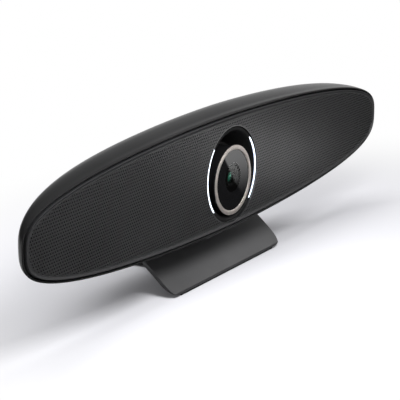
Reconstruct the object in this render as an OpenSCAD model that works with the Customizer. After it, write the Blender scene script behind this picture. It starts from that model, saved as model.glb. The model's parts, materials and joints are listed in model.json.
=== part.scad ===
// Conference camera: a wide lens-shaped speaker bar with a round camera in its middle,
// held by a tilt hinge on a small table stand.
// The front of the bar faces -Y, its length runs along X, and the table is at Z = 0.

/* [Body] */
// Length of the bar
body_length = 500; // [440:1:560]
// Height of the bar's front outline
body_height = 88.6; // [87:0.2:100]
// Depth of the bar from the lip to the flat back
body_depth = 62; // [58:1:72]
// How far the top swells above the front outline
top_swell = 4; // [0:0.5:6]
// Gap between the table and the bar
table_gap = 35; // [34:1:42]
// Wall of the rear housing
shell_wall = 2.4; // [2:0.1:2.8]
// Wall of the lip around the front
lip_wall = 1.6; // [1.4:0.1:1.8]
// Dark seam between the lip and the front frame
seam_gap = 0.9; // [0.7:0.1:1]

/* [Front] */
// How far the grille stands in front of the lip
grille_proud = 1.2; // [0.8:0.1:1.6]
// Thickness of the grille sheet
grille_wall = 1; // [0.8:0.1:1.2]
// Width of the frame's rolled border
border_w = 5; // [4:0.5:5.5]
// How far the border rolls back
border_roll = 2.2; // [1.6:0.1:2.6]
// Thickness of the cloth behind the grille
scrim_t = 0.4; // [0.3:0.1:0.6]
// Thickness of the baffle that carries the speakers
baffle_t = 3; // [2.4:0.2:3.6]

/* [Camera] */
// Diameter at the middle of the light ring
light_ring_d = 70; // [68:0.5:70.5]
// Width of the light ring's guides
light_ring_w = 2.4; // [2:0.1:2.6]
// Half of the angle that each light guide covers
light_half_angle = 43; // [30:1:60]
// Distance of the light ring's centre below the bar's centre
light_drop = 4; // [2:0.5:4.5]
// Outer diameter of the metal ring around the camera
trim_d = 53.2; // [51:0.2:54]
// Width of the metal ring's face
trim_band = 4.1; // [3.4:0.1:4.6]
// Distance of the camera's centre below the light ring's centre
camera_drop = 3.4; // [2:0.2:3.6]
// How far the metal ring stands in front of the lip
trim_proud = 1.8; // [1.4:0.1:2.4]
// Depth of the bowl around the camera
bowl_depth = 13; // [11:0.5:15]
// Diameter of the lens barrel
barrel_d = 14; // [12:0.5:16]
// Height of the lens above the camera's centre
lens_rise = 2; // [0:0.5:3]

/* [Speakers] */
// Distance between a speaker's middle and a passive radiator's
driver_pitch = 70; // [66:1:74]
// Diameter of the speaker's cone with its surround
speaker_d = 44; // [40:1:46]
// Distance of each passive radiator's middle from the bar's end
radiator_end = 68; // [66:1:74]
// Length of the passive radiator's opening
radiator_l = 40; // [34:1:42]
// Height of the passive radiator's opening
radiator_h = 26; // [22:1:28]

/* [Stand] */
// Width of the front blade
blade_w = 160; // [150:1:170]
// Thickness of the blade
blade_t = 3; // [2.6:0.1:3.4]
// Radius of the blade's bottom corners
blade_corner_r = 9; // [6:0.5:12]
// Distance of the blade's foot behind the lip
foot_y = 1.5; // [0:0.5:4]
// Height of the blade's bright front edge
edge_h = 2; // [1.5:0.1:2.5]
// Slope of the blade at its top
crest_slope = 36; // [34:1:40]
// Distance of the hinge axis behind the lip
hinge_y = 36; // [35:0.5:38]
// Height of the hinge axis above the table
hinge_z = 26.5; // [26:0.1:27]
// Diameter of the hinge pin
pin_d = 5; // [4:0.5:5.5]
// Radius of the hinge knuckles
knuckle_r = 5; // [4.6:0.1:5.2]
// Width of the rear leg
leg_w = 56; // [48:1:58]
// Thickness of the rear leg
leg_t = 3; // [2.6:0.1:3.4]
// Distance of the rear leg's end behind the lip
leg_end_y = 78; // [74:1:84]
// Thickness of the rubber feet
foot_t = 1.4; // [1.2:0.1:2]

/* [Back] */
// Width of the port panel's opening
port_w = 112; // [108:1:116]
// Height of the port panel's opening
port_h = 18; // [17:0.5:19]
// Distance between the two wall screws
wall_screw_pitch = 150; // [148:1:152]
// Radius of the wall inserts' bore
insert_bore_r = 2.1; // [2:0.05:2.3]
// Travel of the rear buttons
button_travel = 0.8; // [0.5:0.1:1]

/* [Hidden] */

// Roundness
$fn = 96;
outline_points = 96;
cavity_points = 48;
small_fn = 32;
hull_fn = 36;
// Fits
overrun = 1;
seat_gap = 0.1;
fit_gap = 0.3;
pin_clearance = 0.05;

// Bar outline: a superellipse, softer along its length than across its height
half_length = body_length / 2;
half_height = body_height / 2;
length_power = 1.789;
height_power = 3.115;
head_z = table_gap + half_height;

// Placing: the part stands centred on the middle of its box
front_reach = trim_proud;
origin_y = (leg_end_y - front_reach) / 2;

// Loft of the housing: shares of the depth, the length, the top, the bottom and the widest line
loft_shares = [
    [0, 1, 1, 1, 0],
    [0.048, 0.996, 1.016, 1, 0.027],
    [0.097, 0.985, 1.041, 1, 0.059],
    [0.161, 0.957, 1.070, 1, 0.104],
    [0.226, 0.916, 1.090, 1, 0.153],
    [0.290, 0.858, 1.083, 0.990, 0.203],
    [0.339, 0.802, 1.034, 0.972, 0.226],
    [0.419, 0.700, 0.957, 0.940, 0.192],
    [0.548, 0.600, 0.837, 0.860, 0.135],
    [0.742, 0.500, 0.677, 0.720, 0.056],
    [0.903, 0.430, 0.542, 0.580, 0],
    [1, 0.380, 0.451, 0.490, 0]];
// Highest swell in the shares above
drawn_swell_share = 0.09;

// Depths behind the lip plane
frame_front = -grille_proud;
frame_edge = frame_front + border_roll;
grille_back = frame_front + grille_wall;
baffle_front = grille_back + scrim_t;
baffle_back = baffle_front + baffle_t;
frame_inset = lip_wall + seam_gap;
gasket_recess = 1;
grille_inset = frame_inset + border_w + seat_gap;
// Roll of the border: shares of its width and of its depth
roll_shares = [[0, 1], [0.04, 0.64], [0.18, 0.32], [0.5, 0.09], [1, 0]];

// Light ring and bowl
light_z = -light_drop;
light_r = light_ring_d / 2;
guide_inner_r = light_r - light_ring_w / 2;
guide_outer_r = light_r + light_ring_w / 2;
light_front = grille_back;
emitter_t = 0.8;
guide_back = baffle_back - emitter_t - seat_gap;
light_board_t = 1;
light_board_margin = 1.2;
light_board_r = guide_outer_r + light_board_margin;
light_board_bore_r = guide_inner_r + fit_gap;
camera_hole_r = guide_outer_r + fit_gap;
bowl_wall = 1.2;
bowl_rim_r = guide_inner_r - fit_gap;
bowl_flange_t = 1.6;
bowl_floor_t = 3;
bowl_clearance = 1.8;
bowl_foot_w = 6.6;
rim_wall = 0.6;
band_w = 3.8;
band_depth = 3;
band_r = guide_inner_r - band_w;
band_back = light_front + band_depth;
bowl_floor = light_front + bowl_depth;

// Camera
camera_z = light_z - camera_drop;
lens_z = camera_z + lens_rise;
trim_r = trim_d / 2;
trim_bore_r = trim_r - trim_band;
trim_t = 3;
trim_front = -trim_proud;
trim_back = trim_front + trim_t;
trim_round = 0.6;
window_setback = 1.2;
window_t = 1.2;
window_r = trim_bore_r + 1.4;
window_front = trim_front + window_setback;
can_r = trim_r - bowl_wall;
can_wall = 1.6;
can_flange_t = 1.6;
bowl_foot_r = can_r + bowl_foot_w;
bowl_wall_r = can_r + bowl_clearance;
barrel_r = barrel_d / 2;
barrel_front = window_front + window_t + fit_gap;
lens_share = 0.66;
lens_r = barrel_r * lens_share;
lens_seat = 0.6;
lens_t = 1.8;
inner_lens_count = 3;
inner_lens_share = 0.35;
mount_w = 20;
mount_ledge = 1;
sensor_w = 9;
sensor_h = 7;
sensor_t = 0.8;
sensor_board_w = 26;
sensor_board_t = 1.2;
can_post_r = 2;
can_post_x = 10.5;
camera_screw_r = can_r + bowl_foot_w / 2;
camera_screw_l = 4;

// Speakers and radiators
radiator_x = half_length - radiator_end;
speaker_x = radiator_x - driver_pitch;
speaker_r = speaker_d / 2;
basket_flange_w = 4;
basket_r = speaker_r + basket_flange_w;
basket_flange_t = 1.6;
basket_wall = 1.4;
basket_depth = 18;
basket_neck_share = 0.62;
basket_neck_r = speaker_r * basket_neck_share;
basket_ledge = 2;
basket_back = baffle_back + basket_depth;
basket_window_share = 0.6;
basket_window_w = speaker_r * basket_window_share;
cone_t = 0.8;
cone_ledge_gap = 0.2;
surround_share = 0.11;
coil_share = 0.34;
coil_r = speaker_r * coil_share;
magnet_r = basket_neck_r;
magnet_t = 9;
speaker_screw_r = speaker_r + basket_flange_w / 2;
speaker_screw_l = 3.4;
radiator_rim = 3;
radiator_t = 0.8;
radiator_mass_t = 2;
radiator_roll = 5;

// Screws
screw_r = 1.2;
screw_head_r = 2.2;
screw_head_t = 1.4;
screw_l = 8;
post_r = 3;
case_post_shares = [[0.29, 0.72], [0.58, 0.56], [0.84, 0.24]];

// Microphones
mic_board_w = 104;
mic_board_h = 5;
mic_board_t = 1;
mic_hole_r = 0.8;
mic_z = light_z + light_board_r + fit_gap + mic_board_h / 2;
mic_hole_drop = 1.4;
mic_hole_z = mic_z - mic_hole_drop;
mic_shares = [0.35, 0.88];
mic_w = 3.8;
mic_h = 2.8;
mic_t = 1;

// Boards
board_t = 1.6;
port_board_setback = 10;
port_board_y = body_depth - shell_wall - port_board_setback;
spacer_l = 9;
board_y = port_board_y - spacer_l - board_t;
board_w = 150;
board_h = 40;
board_post_inset = 5;
board_post_x = board_w / 2 - board_post_inset;
board_post_z = board_h / 2 - board_post_inset;
chip_t = 1.2;
// Chips: shares of the board's width and height, for the middle and for the size
chip_shares = [[-0.32, 0.15, 0.09, 0.3], [0, 0, 0.12, 0.45], [0.27, 0.17, 0.07, 0.35], [0.37, -0.2, 0.06, 0.22]];
sink_w = 46;
sink_h = 30;
sink_t = 1.5;
fin_t = 1;
fin_l = 2.5;
fin_count = 8;
port_board_w = 104;
port_board_h = 15;
spacer_r = 2.2;
spacer_inset = 3;
spacer_x = port_board_w / 2 - spacer_inset;
spacer_z = port_board_h / 2 - spacer_inset;
panel_flange = 4;
panel_t = 2;
panel_back = body_depth - shell_wall - panel_t;
panel_recess = 0.4;
panel_face = body_depth - panel_recess;

// Depths inside the camera's can, as shares of the room between the window and the heat sink
can_clearance = 2.6;
can_back = board_y - chip_t - sink_t - fin_l - can_clearance;
barrel_share = 0.47;
mount_lap_share = 0.18;
mount_tail_share = 0.26;
can_room = can_back - can_wall - sensor_board_t - barrel_front;
barrel_l = can_room * barrel_share;
barrel_back = barrel_front + barrel_l;
mount_front = barrel_back - can_room * mount_lap_share;
mount_back = barrel_back + can_room * mount_tail_share;

// Ports, measured from the middle of the back
power_x = 38;
power_w = 10;
power_h = 11;
power_bore_r = 2.8;
power_pin_r = 0.9;
usb_x = 18;
usb_w = 10;
usb_h = 4.2;
usb_wall = 0.7;
hdmi_x = -4;
hdmi_w = 16;
hdmi_h = 7;
hdmi_wall = 0.9;
tongue_t = 0.8;
tongue_setback = 1;
socket_floor = 2;
power_button_x = -27;
power_button_r = 4;
reset_x = -42;
reset_r = 1.8;
button_flange_t = 1;
button_flange_w = 1;
button_back = panel_back - seat_gap - button_flange_t;
switch_w = 6;
switch_pin_r = 1;
switch_pin_l = 1;
switch_gap = 0.2;
switch_front = button_back - button_travel - switch_gap;

// Wall inserts
insert_wall = 1.1;
insert_r = insert_bore_r + insert_wall;
insert_l = 8;
insert_post_r = insert_r + 2 * insert_wall;
wall_x = wall_screw_pitch / 2;

// Hinge
bracket_t = 2.2;
bracket_w = 60;
bracket_front = 4;
bracket_back = hinge_y + knuckle_r;
bracket_top = -half_height - fit_gap;
bracket_post_r = 4;
bracket_post_x = 22;
bracket_post_ys = [9, 26];
bracket_post_l = 12.5;
bracket_screw_l = 10;
saddle_depth = 10;
saddle_t = 1.2;
centre_knuckle_w = 35;
ear_t = 6;
washer_t = 0.7;
ear_x = centre_knuckle_w / 2 + washer_t + seat_gap;
hinge_head_z = hinge_z - head_z;
pin_r = pin_d / 2;
pin_bore_r = pin_r + pin_clearance;
pin_head_inset = 0.6;
pin_head_r = knuckle_r - pin_head_inset;
pin_head_t = 2;
pin_end = ear_x + ear_t + seat_gap;

// Blade: an arc in side view, tangent to the hinge knuckle
blade_steps = 10;
blade_clearance = 2;
blade_end_y = hinge_y - knuckle_r - blade_clearance;
blade_foot = [foot_y, foot_t + edge_h];
blade_crest = [hinge_y - knuckle_r * sin(crest_slope), hinge_z + knuckle_r * cos(crest_slope)];
blade_chord = norm(blade_crest - blade_foot);
chord_slope = atan2(blade_crest[1] - blade_foot[1], blade_crest[0] - blade_foot[0]);
foot_slope = 2 * chord_slope - crest_slope;
blade_arc_r = blade_chord / (2 * sin((foot_slope - crest_slope) / 2));
blade_centre = blade_foot + blade_arc_r * [sin(foot_slope), -cos(foot_slope)];

// Rear leg
lap_top_share = 0.38;
lap_low_share = 0.75;
lap_top_slope = crest_slope + (foot_slope - crest_slope) * lap_top_share;
lap_low_slope = crest_slope + (foot_slope - crest_slope) * lap_low_share;
lap_screw_slope = (lap_top_slope + lap_low_slope) / 2;
leg_knee = [hinge_y - blade_clearance, hinge_z - knuckle_r - blade_clearance];
leg_toe_l = 8;
leg_screw_x = 18;
leg_screw_cover = 1;
leg_screw_l = leg_t + blade_t - leg_screw_cover;
foot_side_margin = 3;
foot_heel_margin = 1;
front_foot_w = blade_w - 2 * blade_corner_r - 2 * foot_side_margin;
front_foot_share = 0.6;
front_foot_d = blade_t * front_foot_share;
foot_margin = 0.2;
rear_foot_w = leg_w - 2 * foot_side_margin;
rear_foot_d = leg_toe_l - foot_heel_margin;

function signed_pow(v, p) = sign(v) * pow(abs(v), p);

// Points of the bar's outline, drawn in by inset
function outline(inset, n = outline_points) = [for (i = [0:n - 1]) let (a = 360 * i / n)
    [(half_length - inset) * signed_pow(cos(a), 2 / length_power),
     (half_height - inset) * signed_pow(sin(a), 2 / height_power)]];

function outline_ring(inset, y, n = outline_points) = [for (p = outline(inset, n)) [p[0], y, p[1]]];

function top_share(s) = s[2] > 1 ? 1 + (s[2] - 1) * top_swell / (half_height * drawn_swell_share) : s[2];

// One ring of the housing's loft from a row of shares
function loft_ring(s, inset, depth, n) = let (
    mid = s[4] * half_height,
    long = s[1] * half_length - inset,
    up = top_share(s) * half_height - mid - inset,
    down = s[3] * half_height + mid - inset)
    [for (i = [0:n - 1]) let (a = 360 * i / n, v = signed_pow(sin(a), 2 / height_power))
        [long * signed_pow(cos(a), 2 / length_power), s[0] * depth, mid + v * (v > 0 ? up : down)]];

function blade_point(slope, r) = blade_centre + r * [-sin(slope), cos(slope)];

// Closed solid through rings of equal counts, from front to back
module loft(rings) {
    n = len(rings[0]);
    last = len(rings) - 1;
    polyhedron(
        points = [for (r = rings) each r],
        faces = [
            [for (i = [n - 1:-1:0]) i],
            for (k = [0:last - 1], i = [0:n - 1]) let (j = (i + 1) % n)
                each [[k * n + i, k * n + j, (k + 1) * n + i],
                      [k * n + j, (k + 1) * n + j, (k + 1) * n + i]],
            [for (i = [0:n - 1]) last * n + i]],
        convexity = 6);
}

// Placing and drawing helpers
module head() { translate([0, -origin_y, head_z]) children(); }
module base() { translate([0, -origin_y, 0]) children(); }
module plate(y0, y1) { translate([0, y1, 0]) rotate([90, 0, 0]) linear_extrude(y1 - y0) children(); }
module across(width) { translate([-width / 2, 0, 0]) rotate([90, 0, 90]) linear_extrude(width) children(); }
module rod(r, y0, y1, x = 0, z = 0) { translate([x, y1, z]) rotate([90, 0, 0]) cylinder(r = r, h = y1 - y0); }
module axle(r, x0, x1, y, z) { translate([x0, y, z]) rotate([0, 90, 0]) cylinder(r = r, h = x1 - x0); }
module block(x, y0, y1, z, w, h) { translate([x - w / 2, y0, z - h / 2]) cube([w, y1 - y0, h]); }
module both_sides() { children(); mirror([1, 0, 0]) children(); }
module turned(x, z) { translate([x, 0, z]) rotate([-90, 0, 0]) rotate_extrude() children(); }
module side(s) { if (s < 0) mirror([1, 0, 0]) children(); else children(); }
module racetrack(l, h) {
    square([l - h, h], center = true);
    for (s = [-1, 1]) translate([s * (l - h) / 2, 0]) circle(d = h);
}
// Screw whose head faces the front
module front_screw(y, l, x, z) {
    rod(screw_r, y, y + l, x, z, $fn = small_fn);
    rod(screw_head_r, y - screw_head_t, y, x, z, $fn = small_fn);
}
// Screw whose head faces the back
module back_screw(y, l, x, z) {
    rod(screw_r, y - l, y, x, z, $fn = small_fn);
    rod(screw_head_r, y, y + screw_head_t, x, z, $fn = small_fn);
}
module at_case_posts() {
    for (s = case_post_shares, x = [-1, 1], z = [-1, 1])
        translate([x * s[0] * half_length, 0, z * s[1] * half_height]) children();
}
module at_board_posts() {
    for (x = [-1, 1], z = [-1, 1]) translate([x * board_post_x, 0, z * board_post_z]) children();
}
module at_bracket_posts() {
    for (x = [-1, 1], y = bracket_post_ys) translate([x * bracket_post_x, y, bracket_top]) children();
}
module at_wall_inserts() { for (x = [-1, 1]) translate([x * wall_x, 0, 0]) children(); }
module at_camera_screws() {
    for (a = [90, 210, 330])
        translate([camera_screw_r * cos(a), 0, camera_z + camera_screw_r * sin(a)]) children();
}

module rear_housing() {
    color("#26282a") head() difference() {
        union() {
            loft([for (s = loft_shares) loft_ring(s, 0, body_depth, outline_points)]);
            at_bracket_posts() cylinder(r = bracket_post_r, h = bracket_post_l);
        }
        difference() {
            loft([for (s = loft_shares) loft_ring(s, shell_wall, body_depth - shell_wall, cavity_points)]);
            at_case_posts() rod(post_r, 0, body_depth);
            at_board_posts() rod(post_r, board_y + board_t, body_depth);
            at_bracket_posts() cylinder(r = bracket_post_r, h = bracket_post_l);
            at_wall_inserts() rod(insert_post_r, body_depth - insert_l - shell_wall, body_depth);
        }
        plate(-overrun, baffle_back) polygon(outline(lip_wall));
        at_case_posts() rod(screw_r + seat_gap, 0, baffle_back + screw_l, $fn = small_fn);
        at_board_posts() rod(screw_r + seat_gap, board_y, board_y + screw_l + overrun, $fn = small_fn);
        at_bracket_posts() translate([0, 0, -overrun])
            cylinder(r = screw_r + seat_gap, h = bracket_screw_l + overrun, $fn = small_fn);
        at_wall_inserts() rod(insert_r + pin_clearance, body_depth - insert_l, body_depth + overrun);
        block(0, body_depth - 2 * shell_wall, body_depth + overrun, 0, port_w, port_h);
    }
}

module seam_gasket() {
    color("#08090a") head() plate(frame_edge + gasket_recess, baffle_back) difference() {
        polygon(outline(lip_wall + seat_gap));
        polygon(outline(frame_inset - seat_gap));
    }
}

module front_frame() {
    color("#2e2f31") head() difference() {
        loft([for (i = [len(roll_shares) - 1:-1:0]) let (s = roll_shares[i])
            outline_ring(frame_inset + s[0] * border_w, frame_front + s[1] * border_roll),
            outline_ring(frame_inset, baffle_back)]);
        plate(frame_front - overrun, baffle_front) polygon(outline(frame_inset + border_w));
        rod(camera_hole_r, frame_front - overrun, baffle_back + overrun, 0, light_z);
        both_sides() {
            rod(speaker_r, 0, baffle_back + overrun, speaker_x, 0);
            plate(0, baffle_back + overrun) translate([radiator_x, 0]) racetrack(radiator_l, radiator_h);
            for (s = mic_shares)
                rod(mic_hole_r, 0, baffle_back + overrun, s * mic_board_w / 2, mic_hole_z, $fn = small_fn);
        }
        at_case_posts() {
            rod(screw_r + seat_gap, 0, baffle_back + overrun, $fn = small_fn);
            rod(screw_head_r + seat_gap, 0, baffle_front + screw_head_t, $fn = small_fn);
        }
        at_speaker_screws() rod(screw_r + seat_gap, baffle_front + overrun, baffle_back + overrun,
            $fn = small_fn);
    }
}

module grille() {
    color("#3a3b3d") head() difference() {
        plate(frame_front, grille_back) polygon(outline(grille_inset));
        rod(camera_hole_r, frame_front - overrun, grille_back + overrun, 0, light_z);
    }
}

module scrim() {
    color("#101112") head() difference() {
        plate(grille_back, baffle_front) polygon(outline(grille_inset));
        rod(camera_hole_r, grille_back - overrun, baffle_front + overrun, 0, light_z);
    }
}

// Sector of a ring, centred on +X, drawn forward from depth y1 to y0
module ring_sector(r0, r1, y0, y1, half_angle) {
    translate([0, y1, 0]) rotate([90, 0, 0]) rotate([0, 0, -half_angle])
        rotate_extrude(angle = 2 * half_angle) translate([r0, 0]) square([r1 - r0, y1 - y0]);
}

module camera_bowl() {
    color("#141516") head() difference() {
        union() {
            rod(guide_outer_r, light_front, light_front + bowl_flange_t, 0, light_z);
            hull() let ($fn = hull_fn) {
                rod(bowl_rim_r, light_front, band_back, 0, light_z);
                rod(bowl_wall_r + bowl_wall, bowl_floor - seat_gap, bowl_floor, 0, camera_z);
            }
            rod(bowl_foot_r, bowl_floor, bowl_floor + bowl_floor_t, 0, camera_z);
        }
        hull() let ($fn = hull_fn) {
            rod(bowl_rim_r - rim_wall, light_front - overrun, light_front, 0, light_z);
            rod(band_r, band_back - seat_gap, band_back, 0, light_z);
        }
        hull() let ($fn = hull_fn) {
            rod(band_r, band_back - seat_gap, band_back, 0, light_z);
            rod(bowl_wall_r, bowl_floor - seat_gap, bowl_floor, 0, camera_z);
        }
        rod(can_r + fit_gap, bowl_floor - overrun, bowl_floor + bowl_floor_t + overrun, 0, camera_z);
        for (s = [-1, 1]) side(s) translate([0, 0, light_z]) ring_sector(guide_inner_r - seat_gap,
            guide_outer_r + overrun, light_front - overrun, light_front + bowl_flange_t + overrun,
            light_half_angle + seat_gap);
        at_camera_screws() rod(screw_r + seat_gap, bowl_floor + seat_gap,
            bowl_floor + bowl_floor_t + overrun, $fn = small_fn);
    }
}

module light_guide(s) {
    color("#eaf4ff") head() side(s) translate([0, 0, light_z])
        ring_sector(guide_inner_r, guide_outer_r, light_front, guide_back, light_half_angle);
}

module light_board() {
    color("#0f2a1c") head() difference() {
        rod(light_board_r, baffle_back, baffle_back + light_board_t, 0, light_z);
        rod(light_board_bore_r, baffle_back - overrun, baffle_back + light_board_t + overrun, 0, light_z);
    }
}

module light_emitters() {
    count = 5;
    color("#f4f0dc") head() translate([0, 0, light_z]) for (s = [-1, 1], i = [0:count - 1])
        side(s) rotate([0, light_half_angle * (2 * (i + 0.5) / count - 1), 0])
            block(light_r, baffle_back - emitter_t, baffle_back, 0, light_ring_w * 0.8, light_ring_w);
}

module trim_ring() {
    color("#b9bbbe") head() turned(0, camera_z) polygon([
        [trim_bore_r, trim_front + trim_round],
        [trim_bore_r + trim_round, trim_front + trim_round / 2],
        [trim_r - 2 * trim_round, trim_front],
        [trim_r - trim_round, trim_front],
        [trim_r, trim_front + trim_round],
        [trim_r, trim_back],
        [window_r + seat_gap, trim_back],
        [window_r + seat_gap, window_front],
        [trim_bore_r, window_front]]);
}

module camera_window() {
    color("#0b0c0e") head() rod(window_r, window_front, window_front + window_t, 0, camera_z);
}

module camera_can() {
    color("#1a1b1d") head() {
        difference() {
            union() {
                rod(can_r, trim_back, can_back, 0, camera_z);
                rod(bowl_foot_r, bowl_floor + bowl_floor_t, bowl_floor + bowl_floor_t + can_flange_t,
                    0, camera_z);
            }
            rod(can_r - can_wall, trim_back - overrun, can_back - can_wall, 0, camera_z);
            at_camera_screws() rod(screw_r + seat_gap, bowl_floor, can_back, $fn = small_fn);
        }
        for (s = [-1, 1])
            rod(can_post_r, mount_back + sensor_board_t, can_back - can_wall, s * can_post_x, lens_z);
    }
}

module lens_barrel() {
    color("#0c0d0e") head() difference() {
        rod(barrel_r, barrel_front, barrel_back, 0, lens_z);
        rod(lens_r + seat_gap, barrel_front - overrun, barrel_back + overrun, 0, lens_z);
    }
}

module front_lens() {
    dome_r = lens_r * 2;
    color("#203a30") head() translate([0, barrel_front + lens_seat, lens_z]) intersection() {
        translate([0, dome_r, 0]) sphere(r = dome_r);
        rod(lens_r, 0, lens_t);
    }
}

module inner_lenses() {
    start = barrel_front + lens_seat + lens_t;
    pitch = (barrel_back - start) / (inner_lens_count + 1);
    color("#9fb3ad") head() for (i = [1:inner_lens_count])
        rod(lens_r, start + i * pitch, start + (i + inner_lens_share) * pitch, 0, lens_z);
}

module lens_mount() {
    color("#17181a") head() difference() {
        block(0, mount_front, mount_back, lens_z, mount_w, mount_w);
        rod(barrel_r + seat_gap, mount_front - overrun, barrel_back + seat_gap, 0, lens_z);
        rod(barrel_r - mount_ledge, barrel_back, mount_back + overrun, 0, lens_z);
    }
}

module image_sensor() {
    color("#2b3550") head() block(0, mount_back - sensor_t, mount_back, lens_z, sensor_w, sensor_h);
}

module sensor_board() {
    color("#0f2a1c") head()
        block(0, mount_back, mount_back + sensor_board_t, lens_z, sensor_board_w, sensor_board_w);
}

module camera_screws() {
    color("#8d9094") head()
        at_camera_screws() back_screw(bowl_floor + bowl_floor_t + can_flange_t, camera_screw_l, 0, 0);
}

module at_speaker_screws() {
    for (s = [-1, 1], a = [45:90:315])
        translate([s * speaker_x + speaker_screw_r * cos(a), 0, speaker_screw_r * sin(a)]) children();
}

module speaker_basket(s) {
    color("#303338") head() difference() {
        turned(s * speaker_x, 0) polygon([
            [speaker_r - basket_ledge, baffle_back + cone_t + cone_ledge_gap],
            [speaker_r, baffle_back + cone_t + cone_ledge_gap],
            [speaker_r, baffle_back],
            [basket_r, baffle_back],
            [basket_r, baffle_back + basket_flange_t],
            [speaker_r, baffle_back + basket_flange_t + basket_wall],
            [basket_neck_r + basket_wall, basket_back],
            [coil_r + basket_wall, basket_back],
            [coil_r + basket_wall, basket_back - basket_wall],
            [basket_neck_r, basket_back - basket_wall],
            [speaker_r - basket_ledge, baffle_back + basket_flange_t + basket_wall]]);
        for (a = [0, 90]) translate([s * speaker_x, 0, 0]) rotate([0, a, 0])
            block(0, baffle_back + basket_flange_t + 2 * basket_wall, basket_back - 2 * basket_wall, 0,
                2 * speaker_r, basket_window_w);
        at_speaker_screws() {
            rod(screw_r + seat_gap, baffle_front, baffle_back + 2 * basket_flange_t, $fn = small_fn);
            rod(screw_head_r + seat_gap, baffle_back + basket_flange_t, basket_back, $fn = small_fn);
        }
    }
}

module speaker_cone(s) {
    roll = speaker_r * surround_share;
    rim = baffle_back + cone_ledge_gap;
    back = baffle_back + speaker_r * 0.42;
    color("#1b1c1e") head() turned(s * speaker_x, 0) polygon([
        [0, back - cone_t - coil_r * 0.5],
        [coil_r * 0.6, back - cone_t - coil_r * 0.36],
        [coil_r, back - cone_t],
        [speaker_r - 2.6 * roll, rim],
        [speaker_r - 2.2 * roll, rim - roll * 0.7],
        [speaker_r - 1.6 * roll, rim - roll],
        [speaker_r - roll, rim - roll * 0.7],
        [speaker_r - 0.6 * roll, rim],
        [speaker_r - seat_gap, rim],
        [speaker_r - seat_gap, rim + cone_t],
        [speaker_r - 2.6 * roll, rim + cone_t],
        [coil_r, back],
        [coil_r, basket_back - basket_wall],
        [coil_r - cone_t, basket_back - basket_wall],
        [coil_r - cone_t, back],
        [0, back - coil_r * 0.5]]);
}

module speaker_magnet(s) {
    color("#55585c") head() {
        rod(magnet_r, basket_back, basket_back + magnet_t, s * speaker_x, 0);
    }
}

module at_radiator(s) { translate([s * radiator_x, 0]) children(); }

module radiator(s) {
    color("#1d1e20") head() plate(baffle_back, baffle_back + radiator_t) at_radiator(s)
        racetrack(radiator_l + 2 * radiator_rim, radiator_h + 2 * radiator_rim);
}

module radiator_mass(s) {
    color("#6d7075") head() plate(baffle_back + radiator_t, baffle_back + radiator_t + radiator_mass_t)
        at_radiator(s) racetrack(radiator_l - 2 * radiator_roll, radiator_h - 2 * radiator_roll);
}

module microphone_board() {
    color("#0f2a1c") head() difference() {
        block(0, baffle_back, baffle_back + mic_board_t, mic_z, mic_board_w, mic_board_h);
        both_sides() for (s = mic_shares)
            rod(mic_hole_r / 2, baffle_back - overrun, baffle_back + mic_board_t + overrun,
                s * mic_board_w / 2, mic_hole_z, $fn = small_fn);
    }
}

module microphones() {
    color("#c9b36a") head() both_sides() for (s = mic_shares)
        block(s * mic_board_w / 2, baffle_back + mic_board_t, baffle_back + mic_board_t + mic_t,
            mic_z, mic_w, mic_h);
}

module main_board() {
    color("#123524") head() difference() {
        block(0, board_y, board_y + board_t, 0, board_w, board_h);
        at_board_posts() rod(screw_r + seat_gap, board_y - overrun, board_y + board_t + overrun,
            $fn = small_fn);
    }
}

module main_chips() {
    color("#1c1d20") head() for (c = chip_shares)
        block(c[0] * board_w, board_y - chip_t, board_y, c[1] * board_h, c[2] * board_w, c[3] * board_h);
}

module heat_sink() {
    back = board_y - chip_t;
    color("#8f9398") head() {
        block(0, back - sink_t, back, 0, sink_w, sink_h);
        for (i = [0:fin_count - 1])
            block((i + 0.5) * sink_w / fin_count - sink_w / 2, back - sink_t - fin_l, back - sink_t, 0,
                fin_t, sink_h);
    }
}

module port_board() {
    color("#123524") head()
        block(0, port_board_y, port_board_y + board_t, 0, port_board_w, port_board_h);
}

module port_spacers() {
    color("#c2a14c") head() for (x = [-1, 1], z = [-1, 1])
        rod(spacer_r, board_y + board_t, port_board_y, x * spacer_x, z * spacer_z, $fn = small_fn);
}

module port_panel() {
    color("#1b1c1e") head() difference() {
        union() {
            block(0, panel_back, panel_back + panel_t, 0, port_w + 2 * panel_flange,
                port_h + panel_flange);
            block(0, panel_back, panel_face, 0, port_w - 2 * fit_gap, port_h - 2 * fit_gap);
        }
        for (p = [[power_x, power_w, power_h], [usb_x, usb_w, usb_h], [hdmi_x, hdmi_w, hdmi_h]])
            block(p[0], panel_back - overrun, body_depth, 0, p[1] + 2 * fit_gap, p[2] + 2 * fit_gap);
        rod(power_button_r + fit_gap, panel_back - overrun, body_depth, power_button_x, 0);
        rod(reset_r + fit_gap, panel_back - overrun, body_depth, reset_x, 0, $fn = small_fn);
    }
}

module power_socket() {
    front = port_board_y + board_t;
    color("#0e0f10") head() {
        difference() {
            block(power_x, front, panel_face, 0, power_w, power_h);
            rod(power_bore_r, front + socket_floor, panel_face + overrun, power_x, 0);
        }
        rod(power_pin_r, front + socket_floor, panel_face - tongue_setback, power_x, 0, $fn = small_fn);
    }
}

// Metal socket with a tongue inside
module socket(x, w, h, wall) {
    front = port_board_y + board_t;
    difference() {
        block(x, front, panel_face, 0, w, h);
        block(x, front + socket_floor, panel_face + overrun, 0, w - 2 * wall, h - 2 * wall);
    }
    block(x, front + socket_floor, panel_face - tongue_setback, 0, w - 6 * wall, tongue_t);
}

module usb_socket() { color("#a9acb0") head() socket(usb_x, usb_w, usb_h, usb_wall); }

module hdmi_socket() { color("#a9acb0") head() socket(hdmi_x, hdmi_w, hdmi_h, hdmi_wall); }

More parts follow.
